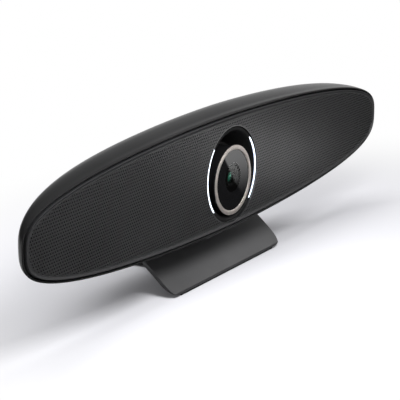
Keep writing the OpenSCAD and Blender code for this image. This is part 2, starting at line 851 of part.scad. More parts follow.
module rear_button(x, r, top) {
    rod(r + button_flange_w, button_back, button_back + button_flange_t, x, 0);
    rod(r, button_back, top, x, 0);
}

module rear_switch(x) {
    block(x, port_board_y + board_t, switch_front - switch_pin_l, 0, switch_w, switch_w);
    rod(switch_pin_r, port_board_y + board_t, switch_front, x, 0, $fn = small_fn);
}

module power_button() {
    color("#2c2d30") head() rear_button(power_button_x, power_button_r, body_depth + button_travel);
}

module power_switch() { color("#75787c") head() rear_switch(power_button_x); }

module reset_button() {
    color("#2c2d30") head() rear_button(reset_x, reset_r, panel_face);
}

module reset_switch() { color("#75787c") head() rear_switch(reset_x); }

module wall_inserts() {
    color("#c2a14c") head() at_wall_inserts() difference() {
        rod(insert_r, body_depth - insert_l, body_depth);
        rod(insert_bore_r, body_depth - insert_l - overrun, body_depth + overrun);
    }
}

module case_screws() {
    color("#8d9094") head() at_case_posts() front_screw(baffle_front + screw_head_t, screw_l, 0, 0);
}

module speaker_screws() {
    color("#8d9094") head()
        at_speaker_screws() back_screw(baffle_back + basket_flange_t, speaker_screw_l, 0, 0);
}

module board_screws() {
    color("#8d9094") head() at_board_posts() front_screw(board_y, screw_l, 0, 0);
}

module hinge_bracket() {
    color("#3b3d40") head() difference() {
        union() {
            block(0, bracket_front, bracket_back, bracket_top - bracket_t / 2, bracket_w, bracket_t);
            // Curved strip that follows the bar's underside
            intersection() {
                plate(bracket_front, bracket_front + saddle_depth) difference() {
                    polygon(outline(-fit_gap - saddle_t));
                    polygon(outline(-fit_gap));
                }
                block(0, 0, body_depth, -half_height, blade_w, half_height);
            }
            for (s = [-1, 1]) side(s) {
                axle(knuckle_r, ear_x, ear_x + ear_t, hinge_y, hinge_head_z);
                translate([ear_x, hinge_y - knuckle_r, hinge_head_z])
                    cube([ear_t, 2 * knuckle_r, bracket_top - hinge_head_z]);
            }
        }
        axle(pin_bore_r, -bracket_w, bracket_w, hinge_y, hinge_head_z);
        at_bracket_posts() {
            translate([0, 0, -bracket_t - overrun])
                cylinder(r = screw_r + seat_gap, h = bracket_t + 2 * overrun, $fn = small_fn);
            cylinder(r = bracket_post_r + fit_gap, h = bracket_post_l);
        }
    }
}

module bracket_screws() {
    color("#8d9094") head() at_bracket_posts() translate([0, 0, -bracket_t]) {
        cylinder(r = screw_r, h = bracket_screw_l, $fn = small_fn);
        translate([0, 0, -screw_head_t]) cylinder(r = screw_head_r, h = screw_head_t, $fn = small_fn);
    }
}

module hinge_pin() {
    color("#9b9ea2") base() {
        axle(pin_r, -pin_end, pin_end + pin_head_t, hinge_y, hinge_z);
        axle(pin_head_r, -pin_end - pin_head_t, -pin_end, hinge_y, hinge_z);
    }
}

module pin_nut() {
    color("#9b9ea2") base() difference() {
        axle(pin_head_r, pin_end, pin_end + pin_head_t, hinge_y, hinge_z, $fn = 6);
        axle(pin_bore_r, 0, pin_end + 2 * pin_head_t, hinge_y, hinge_z);
    }
}

module friction_washers() {
    color("#c9c2a8") base() both_sides() difference() {
        axle(pin_head_r, centre_knuckle_w / 2, centre_knuckle_w / 2 + washer_t, hinge_y, hinge_z);
        axle(pin_bore_r, 0, ear_x, hinge_y, hinge_z);
    }
}

module at_leg_screws() {
    p = blade_point(lap_screw_slope, blade_arc_r - blade_t - leg_t);
    for (x = [-1, 1]) translate([x * leg_screw_x, p[0], p[1]]) rotate([lap_screw_slope, 0, 0]) children();
}

module stand_blade() {
    top_z = hinge_z + 2 * knuckle_r;
    slopes = [for (i = [0:blade_steps]) foot_slope + (crest_slope - foot_slope) * i / blade_steps];
    color("#3b3d40") base() difference() {
        union() {
            intersection() {
                across(blade_w) polygon(concat(
                    [for (a = slopes) blade_point(a, blade_arc_r)],
                    [for (i = [blade_steps:-1:0]) blade_point(slopes[i], blade_arc_r - blade_t)],
                    [[foot_y + blade_t, 0], [foot_y, 0]]));
                // Front view of the blade, with round bottom corners
                plate(0, hinge_y) {
                    translate([-blade_w / 2, foot_t + blade_corner_r]) square([blade_w, top_z]);
                    translate([-blade_w / 2 + blade_corner_r, foot_t])
                        square([blade_w - 2 * blade_corner_r, top_z]);
                    for (s = [-1, 1]) translate([s * (blade_w / 2 - blade_corner_r), foot_t + blade_corner_r])
                        circle(r = blade_corner_r);
                }
            }
            axle(knuckle_r, -centre_knuckle_w / 2, centre_knuckle_w / 2, hinge_y, hinge_z);
        }
        // The sides stop short of the hinge ears
        both_sides() translate([centre_knuckle_w / 2, blade_end_y, 0]) cube([blade_w, hinge_y, top_z]);
        axle(pin_bore_r, -blade_w, blade_w, hinge_y, hinge_z);
        at_leg_screws() cylinder(r = screw_r + seat_gap, h = leg_screw_l + seat_gap, $fn = small_fn);
    }
}

module rear_leg() {
    under = blade_arc_r - blade_t;
    heel = leg_end_y - leg_toe_l;
    color("#33353a") base() difference() {
        across(leg_w) polygon([
            blade_point(lap_low_slope, under),
            blade_point(lap_screw_slope, under),
            blade_point(lap_top_slope, under),
            leg_knee,
            [heel, foot_t + leg_t],
            [leg_end_y, foot_t + leg_t],
            [leg_end_y, foot_t],
            [heel - leg_t / 3, foot_t],
            leg_knee - [leg_t / 3, leg_t],
            blade_point(lap_top_slope, under - leg_t),
            blade_point(lap_screw_slope, under - leg_t),
            blade_point(lap_low_slope, under - leg_t)]);
        at_leg_screws() translate([0, 0, -overrun]) {
            cylinder(r = screw_r + seat_gap, h = leg_screw_l + overrun, $fn = small_fn);
            cylinder(r = screw_head_r + fit_gap, h = overrun, $fn = small_fn);
        }
    }
}

module leg_screws() {
    color("#8d9094") base() at_leg_screws() {
        cylinder(r = screw_r, h = leg_screw_l, $fn = small_fn);
        translate([0, 0, -screw_head_t]) cylinder(r = screw_head_r, h = screw_head_t, $fn = small_fn);
    }
}

module front_foot() {
    color("#0c0c0d") base() translate([-front_foot_w / 2, foot_y + foot_margin, 0])
        cube([front_foot_w, front_foot_d, foot_t]);
}

module rear_foot() {
    color("#0c0c0d") base() translate([-rear_foot_w / 2, leg_end_y - rear_foot_d - foot_margin, 0])
        cube([rear_foot_w, rear_foot_d, foot_t]);
}

rear_housing();
seam_gasket();
front_frame();
grille();
scrim();
camera_bowl();
light_guide(-1);  // light_guide_left
light_guide(1);  // light_guide_right
light_board();
light_emitters();
trim_ring();
camera_window();
camera_can();
lens_barrel();
front_lens();
inner_lenses();
lens_mount();
image_sensor();
sensor_board();
camera_screws();
speaker_basket(-1);  // speaker_basket_left
speaker_basket(1);  // speaker_basket_right
speaker_cone(-1);  // speaker_cone_left
speaker_cone(1);  // speaker_cone_right
speaker_magnet(-1);  // speaker_magnet_left
speaker_magnet(1);  // speaker_magnet_right
radiator(-1);  // radiator_left
radiator(1);  // radiator_right
radiator_mass(-1);  // radiator_mass_left
radiator_mass(1);  // radiator_mass_right
microphone_board();
microphones();
main_board();
main_chips();
heat_sink();
port_board();
port_spacers();
port_panel();
power_socket();
usb_socket();
hdmi_socket();
power_button();
power_switch();
reset_button();
reset_switch();
wall_inserts();
case_screws();
speaker_screws();
board_screws();
hinge_bracket();
bracket_screws();
hinge_pin();
pin_nut();
friction_washers();
stand_blade();
rear_leg();
leg_screws();
front_foot();
rear_foot();
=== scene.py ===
"""The look of a conference camera: a lens-shaped speaker bar on a tilting blade stand.

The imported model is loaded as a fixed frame, its visible parts are dressed with finer pieces, every
part gets its finish, and a plain studio is set round it. Sizes are in millimetres, a depth is counted
backwards from the lip round the bar's front, and angles are in degrees.
"""

from __future__ import annotations

import json
import logging
import math
from contextlib import contextmanager
from dataclasses import dataclass, field
from enum import Enum
from typing import Iterator, Sequence

import bpy
from mathutils import Matrix, Vector

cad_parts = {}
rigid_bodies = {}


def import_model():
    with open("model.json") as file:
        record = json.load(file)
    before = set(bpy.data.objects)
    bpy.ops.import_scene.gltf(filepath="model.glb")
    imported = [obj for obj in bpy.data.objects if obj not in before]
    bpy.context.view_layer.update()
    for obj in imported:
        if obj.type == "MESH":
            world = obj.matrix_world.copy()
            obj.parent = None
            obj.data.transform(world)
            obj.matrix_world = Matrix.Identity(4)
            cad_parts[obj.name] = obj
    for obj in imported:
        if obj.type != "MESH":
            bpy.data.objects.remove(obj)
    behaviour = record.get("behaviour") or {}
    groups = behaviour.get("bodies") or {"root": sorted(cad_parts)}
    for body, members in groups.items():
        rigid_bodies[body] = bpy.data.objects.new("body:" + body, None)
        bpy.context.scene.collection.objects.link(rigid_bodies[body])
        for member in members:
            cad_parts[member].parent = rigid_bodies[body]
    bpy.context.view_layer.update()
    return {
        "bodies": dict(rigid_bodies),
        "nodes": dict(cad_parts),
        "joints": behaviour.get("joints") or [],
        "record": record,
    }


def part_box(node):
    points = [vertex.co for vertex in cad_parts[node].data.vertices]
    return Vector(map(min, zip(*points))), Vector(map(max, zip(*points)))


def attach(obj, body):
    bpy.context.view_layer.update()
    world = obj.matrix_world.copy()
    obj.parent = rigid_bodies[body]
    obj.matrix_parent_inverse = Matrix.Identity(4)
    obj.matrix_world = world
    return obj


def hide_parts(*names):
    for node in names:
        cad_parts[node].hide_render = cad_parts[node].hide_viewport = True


MM = 0.001
LOG = logging.getLogger("conference_camera")

Pair = tuple[float, float]
Point = tuple[float, float, float]
Ring = list[Point]
Colour = tuple[float, float, float]
Piece = bpy.types.Object
Node = bpy.types.Node
Socket = bpy.types.NodeSocket


class Body(Enum):
    """The rigid bodies that pieces ride on."""

    STAND = "stand"
    HEAD = "head"
    POWER_BUTTON = "power_button"
    RESET_BUTTON = "reset_button"


class Side(Enum):
    """The two ends of the bar, as signs along its length."""

    LEFT = -1
    RIGHT = 1


def metres(point: Point) -> Point:
    """Turn a place in millimetres into Blender's metres."""
    return tuple(value * MM for value in point)


def signed_power(value: float, power: float) -> float:
    """Raise a value's size to a power and keep its sign."""
    return math.copysign(abs(value) ** power, value)


def turns(steps: int) -> list[float]:
    """Evenly spaced angles of a full turn, in radians."""
    return [2 * math.pi * i / steps for i in range(steps)]


def circle(radius: float, depth: float, centre: Pair, steps: int) -> Ring:
    """A ring of points about an axis along Y, whose centre is given along X and Z."""
    return [(centre[0] + radius * math.cos(turn), depth, centre[1] + radius * math.sin(turn))
            for turn in turns(steps)]


def blend_rows(before: Sequence[float], low: Sequence[float], high: Sequence[float],
               after: Sequence[float], share: float) -> list[float]:
    """Smooth curve between two rows of values, led by their neighbours.

    Args:
        before: The row before the stretch; each row's first value is its place.
        low: The row where the stretch starts.
        high: The row where it ends.
        after: The row after the stretch.
        share: How far along the stretch, from 0 to 1.

    Returns:
        The row at that share.
    """
    span = high[0] - low[0]
    square, cube = share ** 2, share ** 3
    row = [low[0] + span * share]
    for a, b, c, d in zip(before[1:], low[1:], high[1:], after[1:]):
        start = (c - a) / max(high[0] - before[0], span) * span
        end = (d - b) / max(after[0] - low[0], span) * span
        row.append((2 * cube - 3 * square + 1) * b + (cube - 2 * square + share) * start
                   + (3 * square - 2 * cube) * c + (cube - square) * end)
    return row


class Workshop:
    """The few modelling steps that all pieces share."""

    merge_gap: float = 0.004
    solid_merge_gap: float = 0.002
    bevel_steps: int = 3
    quad_angle: float = 1.0
    quad_skew: float = 180.0
    flat_angle: float = 0.3

    @classmethod
    def pick(cls, piece: Piece) -> None:
        """Make one object the active and only selected one, since operators act on those.

        Args:
            piece: The object.
        """
        bpy.ops.object.select_all(action="DESELECT")
        piece.select_set(True)
        bpy.context.view_layer.objects.active = piece

    @classmethod
    @contextmanager
    def editing(cls, piece: Piece, everything: bool = True) -> Iterator[None]:
        """Open a piece in edit mode, and close it again afterwards.

        Args:
            piece: The piece to edit.
            everything: True selects all of it first.

        Returns:
            A context in which the piece is open.
        """
        cls.pick(piece)
        bpy.ops.object.mode_set(mode="EDIT")
        if everything:
            bpy.ops.mesh.select_all(action="SELECT")
        yield
        bpy.ops.object.mode_set(mode="OBJECT")

    @classmethod
    def settle(cls, piece: Piece) -> None:
        """Put the object's place into its mesh, so that it sits at the origin."""
        cls.pick(piece)
        bpy.ops.object.transform_apply(location=True, rotation=True, scale=True)

    @classmethod
    def modify(cls, piece: Piece, kind: str, **settings: object) -> None:
        """Add a modifier and apply it.

        Args:
            piece: The piece to change.
            kind: The modifier's type.
            settings: The modifier's settings.
        """
        cls.pick(piece)
        modifier = piece.modifiers.new(kind.title(), kind)
        for name, value in settings.items():
            setattr(modifier, name, value)
        bpy.ops.object.modifier_apply(modifier=modifier.name)

    @classmethod
    def cut(cls, piece: Piece, cutters: Sequence[Piece]) -> None:
        """Take the cutters' space out of a piece and remove the cutters.

        Args:
            piece: The piece to cut.
            cutters: The solids whose space goes.
        """
        for cutter in cutters:
            cls.modify(piece, "BOOLEAN", operation="DIFFERENCE", solver="EXACT", object=cutter)
            bpy.data.objects.remove(cutter, do_unlink=True)

    @classmethod
    def join(cls, name: str, parts: Sequence[Piece]) -> Piece:
        """Join several meshes into one.

        Args:
            name: The joined object's name.
            parts: The meshes, of which the first stays.

        Returns:
            The joined object.
        """
        cls.pick(parts[0])
        for part in parts:
            part.select_set(True)
        bpy.ops.object.join()
        parts[0].name = name
        return parts[0]

    @classmethod
    def sweep(cls, name: str, rings: Sequence[Ring], tube: bool = False) -> Piece:
        """Stretch a grid over rings of points to make one closed surface, with its faces outwards.

        Args:
            name: The new object's name.
            rings: Rings of equal counts, in millimetres.
            tube: True closes the last ring onto the first; otherwise the ends are capped.

        Returns:
            The object, with its mesh in place.
        """
        count = len(rings[0])
        if tube:
            loops = [*rings, rings[0]]
        else:
            first, last = (tuple(sum(axis) / count for axis in zip(*ring)) for ring in (rings[0], rings[-1]))
            loops = [[first] * count, *rings, [last] * count]
        bpy.ops.mesh.primitive_grid_add(x_subdivisions=count, y_subdivisions=len(loops) - 1, size=1)
        piece = bpy.context.object
        piece.name = name
        points = [loop[i % count] for loop in loops for i in range(count + 1)]
        for vertex, point in zip(piece.data.vertices, points):
            vertex.co = Vector(point) * MM
        with cls.editing(piece):
            bpy.ops.mesh.remove_doubles(threshold=cls.merge_gap * MM)
            bpy.ops.mesh.normals_make_consistent(inside=False)
        return piece

    @classmethod
    def lathe(cls, name: str, profile: Sequence[Pair], centre: Pair, steps: int) -> Piece:
        """Turn a profile of radius and place along Y about an axis, given along X and Z."""
        return cls.sweep(name, [circle(radius, depth, centre, steps) for radius, depth in profile])

    @classmethod
    def block(cls, name: str, low: Point, high: Point, bevel: float = 0.0) -> Piece:
        """A box between two corners.

        Args:
            name: The new object's name.
            low: Its lowest corner.
            high: Its highest corner.
            bevel: Rounding of its edges; 0 leaves them sharp.

        Returns:
            The box.
        """
        middle = [(a + b) / 2 * MM for a, b in zip(low, high)]
        bpy.ops.mesh.primitive_cube_add(size=1, location=middle)
        piece = bpy.context.object
        piece.name = name
        piece.scale = [(b - a) * MM for a, b in zip(low, high)]
        cls.settle(piece)
        if bevel:
            cls.modify(piece, "BEVEL", width=bevel * MM, segments=cls.bevel_steps)
        return piece

    @classmethod
    def copy_node(cls, frame: dict, node: str, name: str, bevel: float, angle: float) -> Piece:
        """Copy a solid's mesh, merge its flat faces and round its sharp edges.

        Args:
            node: The solid's name.
            name: The new object's name.
            bevel: Rounding of sharp edges; 0 leaves them.
            angle: Edges flatter than this count as smooth.

        Returns:
            The copy.
        """
        piece = bpy.data.objects.new(name, frame["nodes"][node].data.copy())
        bpy.context.scene.collection.objects.link(piece)
        with cls.editing(piece):
            bpy.ops.mesh.remove_doubles(threshold=cls.solid_merge_gap * MM)
            bpy.ops.mesh.tris_convert_to_quads(face_threshold=math.radians(cls.quad_angle),
                                               shape_threshold=math.radians(cls.quad_skew))
            bpy.ops.mesh.dissolve_limited(angle_limit=math.radians(cls.flat_angle))
        if bevel:
            cls.modify(piece, "BEVEL", width=bevel * MM, segments=cls.bevel_steps, limit_method="ANGLE",
                       angle_limit=math.radians(angle))
        return piece

    @classmethod
    def dress(cls, piece: Piece, body: Body, finish: Finish, slot: str, angle: float,
              replaces: Sequence[str] = ()) -> None:
        """Shade a finished piece, give it its material and body, and hide the solids whose place it takes.

        Args:
            piece: The finished piece.
            body: The rigid body that it rides on.
            finish: Its finish.
            slot: Its material slot in the frame; not used.
            angle: Edges flatter than this are shaded smooth.
            replaces: The solids whose place it takes.
        """
        cls.pick(piece)
        bpy.ops.object.shade_smooth_by_angle(angle=math.radians(angle))
        piece.data.materials.clear()
        piece.data.materials.append(finish.material())
        if replaces:
            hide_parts(*replaces)
        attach(piece, body.value)
        LOG.info("%s: %d faces, rides on %s", piece.name, len(piece.data.polygons), body.value)


class Wiring:
    """Lays out the nodes of one shader tree."""

    def __init__(self, tree: bpy.types.NodeTree) -> None:
        """Keep the tree that the nodes go into."""
        self.tree = tree

    def feed(self, node: Node, values: dict[str | int, object]) -> None:
        """Link a node's inputs, or set their values.

        Args:
            node: The node to feed.
            values: Sockets or plain values, by the name or number of their input.
        """
        for key, value in values.items():
            if isinstance(value, Socket):
                self.tree.links.new(value, node.inputs[key])
            else:
                node.inputs[key].default_value = value

    def node(self, kind: str, values: dict[str | int, object] | None = None) -> Node:
        """Add a node.

        Args:
            kind: The node's type, without its leading words.
            values: What feeds its inputs.

        Returns:
            The node.
        """
        node = self.tree.nodes.new("ShaderNode" + kind)
        self.feed(node, values or {})
        return node

    def operate(self, kind: str, operation: str, values: Sequence[object]) -> Node:
        """Add a node that does one of several sums.

        Args:
            kind: The node's type.
            operation: The sum.
            values: What it works on, as sockets or plain values.

        Returns:
            The node.
        """
        node = self.node(kind)
        node.operation = operation
        self.feed(node, dict(enumerate(values)))
        return node

    def number(self, operation: str, *values: object) -> Socket:
        """A sum on numbers."""
        return self.operate("Math", operation, values).outputs[0]

    def vector(self, operation: str, *values: object) -> Socket:
        """A sum on vectors that gives a vector."""
        return self.operate("VectorMath", operation, values).outputs["Vector"]

    def measure(self, operation: str, *values: object) -> Socket:
        """A sum on vectors that gives a number."""
        return self.operate("VectorMath", operation, values).outputs["Value"]

    def place(self, kind: str = "Object") -> Socket:
        """The coordinates of the point that is shaded."""
        return self.node("TexCoord").outputs[kind]

    def noise(self, place: Socket, scale: float, detail: float) -> Socket:
        """A cloud of noise over the places given."""
        return self.node("TexNoise", {"Vector": place, "Scale": scale, "Detail": detail}).outputs["Fac"]

    def spread(self, value: Socket, reach: Pair, levels: Pair) -> Node:
        """Move from one level to another as a value crosses its reach."""
        return self.node("MapRange", {"Value": value, "From Min": reach[0], "From Max": reach[1],
                                      "To Min": levels[0], "To Max": levels[1]})

    def ease(self, value: Socket, reach: Pair, levels: Pair = (0.0, 1.0), unit: float = MM) -> Socket:
        """Move from one level to another as a value crosses its reach, with soft ends.

        Args:
            value: The value.
            reach: Where the change starts and ends.
            levels: The levels before and after it.
            unit: What the reach is counted in.

        Returns:
            The level at the value.
        """
        node = self.spread(value, (reach[0] * unit, reach[1] * unit), levels)
        node.interpolation_type = "SMOOTHERSTEP"
        return node.outputs["Result"]

    def camera_ray(self) -> Socket:
        """1 for a ray that comes straight from the camera, and 0 for any other."""
        return self.node("LightPath").outputs["Is Camera Ray"]

    def seen_in_gloss(self) -> Socket:
        """1 for a ray that comes by a reflection or through glass, and 0 for any other."""
        rays = self.node("LightPath").outputs
        return self.number("MAXIMUM", rays["Is Glossy Ray"], rays["Is Transmission Ray"])

    def mix(self, share: object, first: object, second: object) -> Socket:
        """Mix two shaders, from all of the first at 0 to all of the second at 1."""
        return self.node("MixShader", {0: share, 1: first, 2: second}).outputs[0]


@dataclass(frozen=True)
class Finish:
    """A surface finish: colour, gloss and the fine relief of a moulded or painted part."""

    name: str
    colour: Colour
    roughness: float = 0.5
    metallic: float = 0.0
    specular: float = 0.5
    coat: float = 0.0
    coat_roughness: float = 0.1
    grain_scale: float = 900.0
    grain_detail: float = 3.0
    grain_bump: float = 0.05
    grain_depth: float = 0.1
    gloss_reach: Pair = (0.3, 0.7)
    gloss_swing: float = 0.08
    mottle: float = 0.08
    mottle_scale: float = 22.0
    mottle_detail: float = 4.0
    mottle_reach: Pair = (0.35, 0.65)

    def material(self) -> bpy.types.Material:
        """Build the material once and share it, under a name that the frame's slots don't have.

        Returns:
            The material.
        """
        title = self.name + "_finish"
        made = bpy.data.materials.get(title)
        if made is None:
            made = bpy.data.materials.new(title)
            made.use_nodes = True
            self.wire(Wiring(made.node_tree), made.node_tree.nodes["Principled BSDF"])
        return made

    def grain_place(self, wiring: Wiring) -> Socket:
        """Where the grain is read: at the object's own coordinates."""
        return wiring.place()

    def wire(self, wiring: Wiring, shader: Node) -> None:
        """Set the shader's values, and vary its colour, gloss and relief by noise.

        Args:
            wiring: Lays out the nodes.
            shader: The material's shader.
        """
        grain = wiring.noise(self.grain_place(wiring), self.grain_scale, self.grain_detail)
        cloud = wiring.noise(wiring.place(), self.mottle_scale, self.mottle_detail)
        ramp = wiring.node("ValToRGB", {"Fac": cloud})
        tones = (1 - self.mottle, 1 + self.mottle)
        for stop, position, tone in zip(ramp.color_ramp.elements, self.mottle_reach, tones):
            stop.position = position
            stop.color = (*(level * tone for level in self.colour), 1.0)
        swing = self.roughness * self.gloss_swing
        levels = (self.roughness - swing, min(1.0, self.roughness + swing))
        gloss = wiring.spread(grain, self.gloss_reach, levels)
        bump = wiring.node("Bump", {"Strength": self.grain_bump, "Distance": self.grain_depth * MM,
                                    "Height": grain})
        wiring.feed(shader, {
            "Metallic": self.metallic, "Specular IOR Level": self.specular, "Coat Weight": self.coat,
            "Coat Roughness": self.coat_roughness, "Base Color": ramp.outputs["Color"],
            "Roughness": gloss.outputs["Result"], "Normal": bump.outputs["Normal"]})


@dataclass(frozen=True)
class BrushedMetal(Finish):
    """Metal with turning marks drawn out along one axis."""

    stretch: Point = (1.0, 1.0, 1.0)
    grain_scale: float = 400.0
    grain_bump: float = 0.08

    def grain_place(self, wiring: Wiring) -> Socket:
        """Where the grain is read: at coordinates that are stretched into streaks."""
        return wiring.node("Mapping", {"Vector": wiring.place(), "Scale": self.stretch}).outputs["Vector"]


@dataclass(frozen=True)
class Glow(Finish):
    """Frosted plastic that glows white along the light ring's middle line and blue at its edges."""

    core: Colour = (0.86, 0.93, 1.0)
    edge: Colour = (0.03, 0.06, 0.2)
    strength: float = 1.6
    middle_r: float = 35.0
    edge_reach: Pair = (0.35, 1.15)
    above_board: float = 0.8

    def wire(self, wiring: Wiring, shader: Node) -> None:
        """Add the glow to the plain finish.

        Args:
            wiring: Lays out the nodes.
            shader: The material's shader.
        """
        super().wire(wiring, shader)
        low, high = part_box("light_board")
        centre = (0.0, 0.0, (low.z + high.z) / 2 + self.above_board * MM)
        flat = wiring.vector("MULTIPLY", wiring.vector("SUBTRACT", wiring.place(), centre), (1.0, 0.0, 1.0))
        off = wiring.number("SUBTRACT", wiring.measure("LENGTH", flat), self.middle_r * MM)
        share = wiring.ease(wiring.number("ABSOLUTE", off), self.edge_reach)
        blend = wiring.node("Mix")
        blend.data_type = "RGBA"
        wiring.feed(blend, {"Factor": share, 6: (*self.core, 1.0), 7: (*self.edge, 1.0)})
        wiring.feed(shader, {"Emission Color": blend.outputs[2], "Emission Strength": self.strength})


@dataclass(frozen=True)
class ClearGlass(Finish):
    """Polished clear glass, coated so that it reflects and bends light little."""

    roughness: float = 0.0
    grain_scale: float = 60.0
    grain_bump: float = 0.0
    index: float = 1.16

    def wire(self, wiring: Wiring, shader: Node) -> None:
        """Let light through the plain finish."""
        super().wire(wiring, shader)
        wiring.feed(shader, {"Transmission Weight": 1.0, "IOR": self.index})


SHELL_PLASTIC = Finish("shell_plastic", (0.012, 0.012, 0.0123), 0.34, specular=0.36, grain_bump=0.06)
FRONT_PLASTIC = Finish("front_plastic", (0.02, 0.02, 0.021), 0.4, specular=0.4, grain_bump=0.06)
GRILLE_COAT = Finish("grille_coat", (0.026, 0.026, 0.0265), 0.32, specular=0.9, coat=0.4, coat_roughness=0.3,
                     grain_bump=0.08)
SEAM_RUBBER = Finish("seam_rubber", (0.004, 0.004, 0.004), 0.85, specular=0.2, grain_bump=0.1)
CLOTH_BLACK = Finish("cloth_black", (0.006, 0.006, 0.006), 0.95, specular=0.1, grain_scale=2200.0,
                     grain_bump=0.6, mottle=0.3)
BOWL_PLASTIC = Finish("bowl_plastic", (0.006, 0.006, 0.0062), 0.45, specular=0.15, grain_bump=0.04)
LIGHT_PLASTIC = Glow("light_plastic", (0.8, 0.88, 1.0))
RING_METAL = BrushedMetal("ring_metal", (0.8, 0.73, 0.68), 0.36, metallic=0.9, stretch=(1.0, 6.0, 1.0))
WINDOW_GLASS = ClearGlass("window_glass", (0.9, 0.92, 0.91))
PRINTED_GLASS = Finish("printed_glass", (0.004, 0.004, 0.0045), 0.012, specular=0.18, grain_scale=60.0,
                       grain_bump=0.0)
LENS_GLASS = Finish("lens_glass", (0.03, 0.22, 0.14), 0.05, metallic=0.5, coat=1.0, coat_roughness=0.02,
                    grain_scale=60.0, grain_bump=0.0)
INNER_BLACK = Finish("inner_black", (0.003, 0.003, 0.003), 0.8, specular=0.08, grain_bump=0.1)
BLACK_METAL = Finish("black_metal", (0.01, 0.01, 0.011), 0.35, metallic=0.4)
BOARD_GREEN = Finish("board_green", (0.012, 0.07, 0.035), 0.4, coat=0.3, grain_scale=500.0, mottle=0.2)
CHIP_BLACK = Finish("chip_black", (0.012, 0.012, 0.013), 0.55)
SENSOR_BLUE = Finish("sensor_blue", (0.03, 0.045, 0.12), 0.12, coat=0.8)
SCREW_STEEL = BrushedMetal("screw_steel", (0.4, 0.4, 0.41), 0.35, metallic=1.0)
BASKET_PAINT = Finish("basket_paint", (0.03, 0.031, 0.034), 0.45, grain_bump=0.1)
CONE_PAPER = Finish("cone_paper", (0.014, 0.014, 0.015), 0.7, grain_scale=1500.0, grain_bump=0.3)
MAGNET_IRON = Finish("magnet_iron", (0.12, 0.12, 0.13), metallic=0.7, grain_bump=0.2)
BRASS = BrushedMetal("brass", (0.6, 0.42, 0.14), 0.3, metallic=1.0)
SINK_METAL = BrushedMetal("sink_metal", (0.45, 0.46, 0.48), 0.4, metallic=1.0)
PANEL_PLASTIC = Finish("panel_plastic", (0.012, 0.012, 0.013), grain_bump=0.2)
SOCKET_METAL = BrushedMetal("socket_metal", (0.55, 0.55, 0.57), 0.28, metallic=1.0)
BUTTON_PLASTIC = Finish("button_plastic", (0.045, 0.045, 0.047), 0.38, grain_bump=0.06)
STAND_COAT = Finish("stand_coat", (0.11, 0.11, 0.112), 0.34, metallic=0.6)
FOOT_RUBBER = Finish("foot_rubber", (0.008, 0.008, 0.008), 0.8, specular=0.3, grain_bump=0.2)
NYLON = Finish("nylon", (0.6, 0.56, 0.45), 0.45)

NODE_FINISHES: dict[str, Finish] = {
    "seam_gasket": SEAM_RUBBER, "scrim": CLOTH_BLACK, "light_emitters": LIGHT_PLASTIC,
    "camera_can": BLACK_METAL, "inner_lenses": LENS_GLASS, "lens_mount": CHIP_BLACK,
    "image_sensor": SENSOR_BLUE, "main_chips": CHIP_BLACK, "heat_sink": SINK_METAL,
    "microphones": BRASS, "port_spacers": BRASS, "friction_washers": NYLON,
    **dict.fromkeys(("light_board", "sensor_board", "microphone_board", "main_board", "port_board"),
                    BOARD_GREEN),
    **dict.fromkeys(("camera_screws", "case_screws", "speaker_screws", "board_screws", "power_switch",
                     "reset_switch", "hinge_pin", "pin_nut", "radiator_mass_left", "radiator_mass_right"),
                    SCREW_STEEL),
    **dict.fromkeys(("speaker_basket_left", "speaker_basket_right"), BASKET_PAINT),
    **dict.fromkeys(("speaker_magnet_left", "speaker_magnet_right"), MAGNET_IRON),
    **dict.fromkeys(("speaker_cone_left", "speaker_cone_right", "radiator_left", "radiator_right"),
                    CONE_PAPER),
}


@dataclass(frozen=True)
class RoundedSolid:
    """A solid that is shown as a copy of itself with rounded edges."""

    node: str
    name: str
    bevel: float
    finish: Finish
    slot: str
    angle: float = 35.0
    body: Body = Body.HEAD

    def build(self, frame: dict) -> None:
        """Copy, round and dress the solid."""
        piece = Workshop.copy_node(frame, self.node, self.name, self.bevel, self.angle)
        Workshop.dress(piece, self.body, self.finish, self.slot, self.angle, [self.node])


@dataclass
class BarOutline:
    """The bar's front outline, a superellipse, placed in the frame."""

    half_height: float = 44.3
    length_power: float = 1.789
    height_power: float = 3.115
    steps: int = 192
    light_drop: float = 3.2
    lip_y: float = field(init=False)
    half_length: float = field(init=False)
    centre_z: float = field(init=False)

    def __post_init__(self) -> None:
        """Take the bar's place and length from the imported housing, and its middle from the seam."""
        low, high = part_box("rear_housing")
        self.lip_y = low.y / MM
        self.half_length = (high.x - low.x) / 2 / MM
        seam_low, seam_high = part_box("seam_gasket")
        self.centre_z = (seam_low.z + seam_high.z) / 2 / MM

    def unit_ring(self) -> list[Pair]:
        """The outline's points along X and Z, for half sizes of 1."""
        return [(signed_power(math.cos(turn), 2 / self.length_power),
                 signed_power(math.sin(turn), 2 / self.height_power)) for turn in turns(self.steps)]

    def ring(self, inset: float, depth: float) -> Ring:
        """The outline drawn in by an inset, at a depth behind the lip."""
        return [((self.half_length - inset) * across, self.lip_y + depth,
                 self.centre_z + (self.half_height - inset) * up) for across, up in self.unit_ring()]

    def fill(self, x: float, z: float, inset: float) -> float:
        """How far out a point lies: below 1 inside the inset outline, above 1 outside.

        Args:
            x: The point's place along X.
            z: Its place along Z.
            inset: How far the outline is drawn in.

        Returns:
            The share of the way out.
        """
        across = abs(x) / (self.half_length - inset)
        up = abs(z - self.centre_z) / (self.half_height - inset)
        return across ** self.length_power + up ** self.height_power


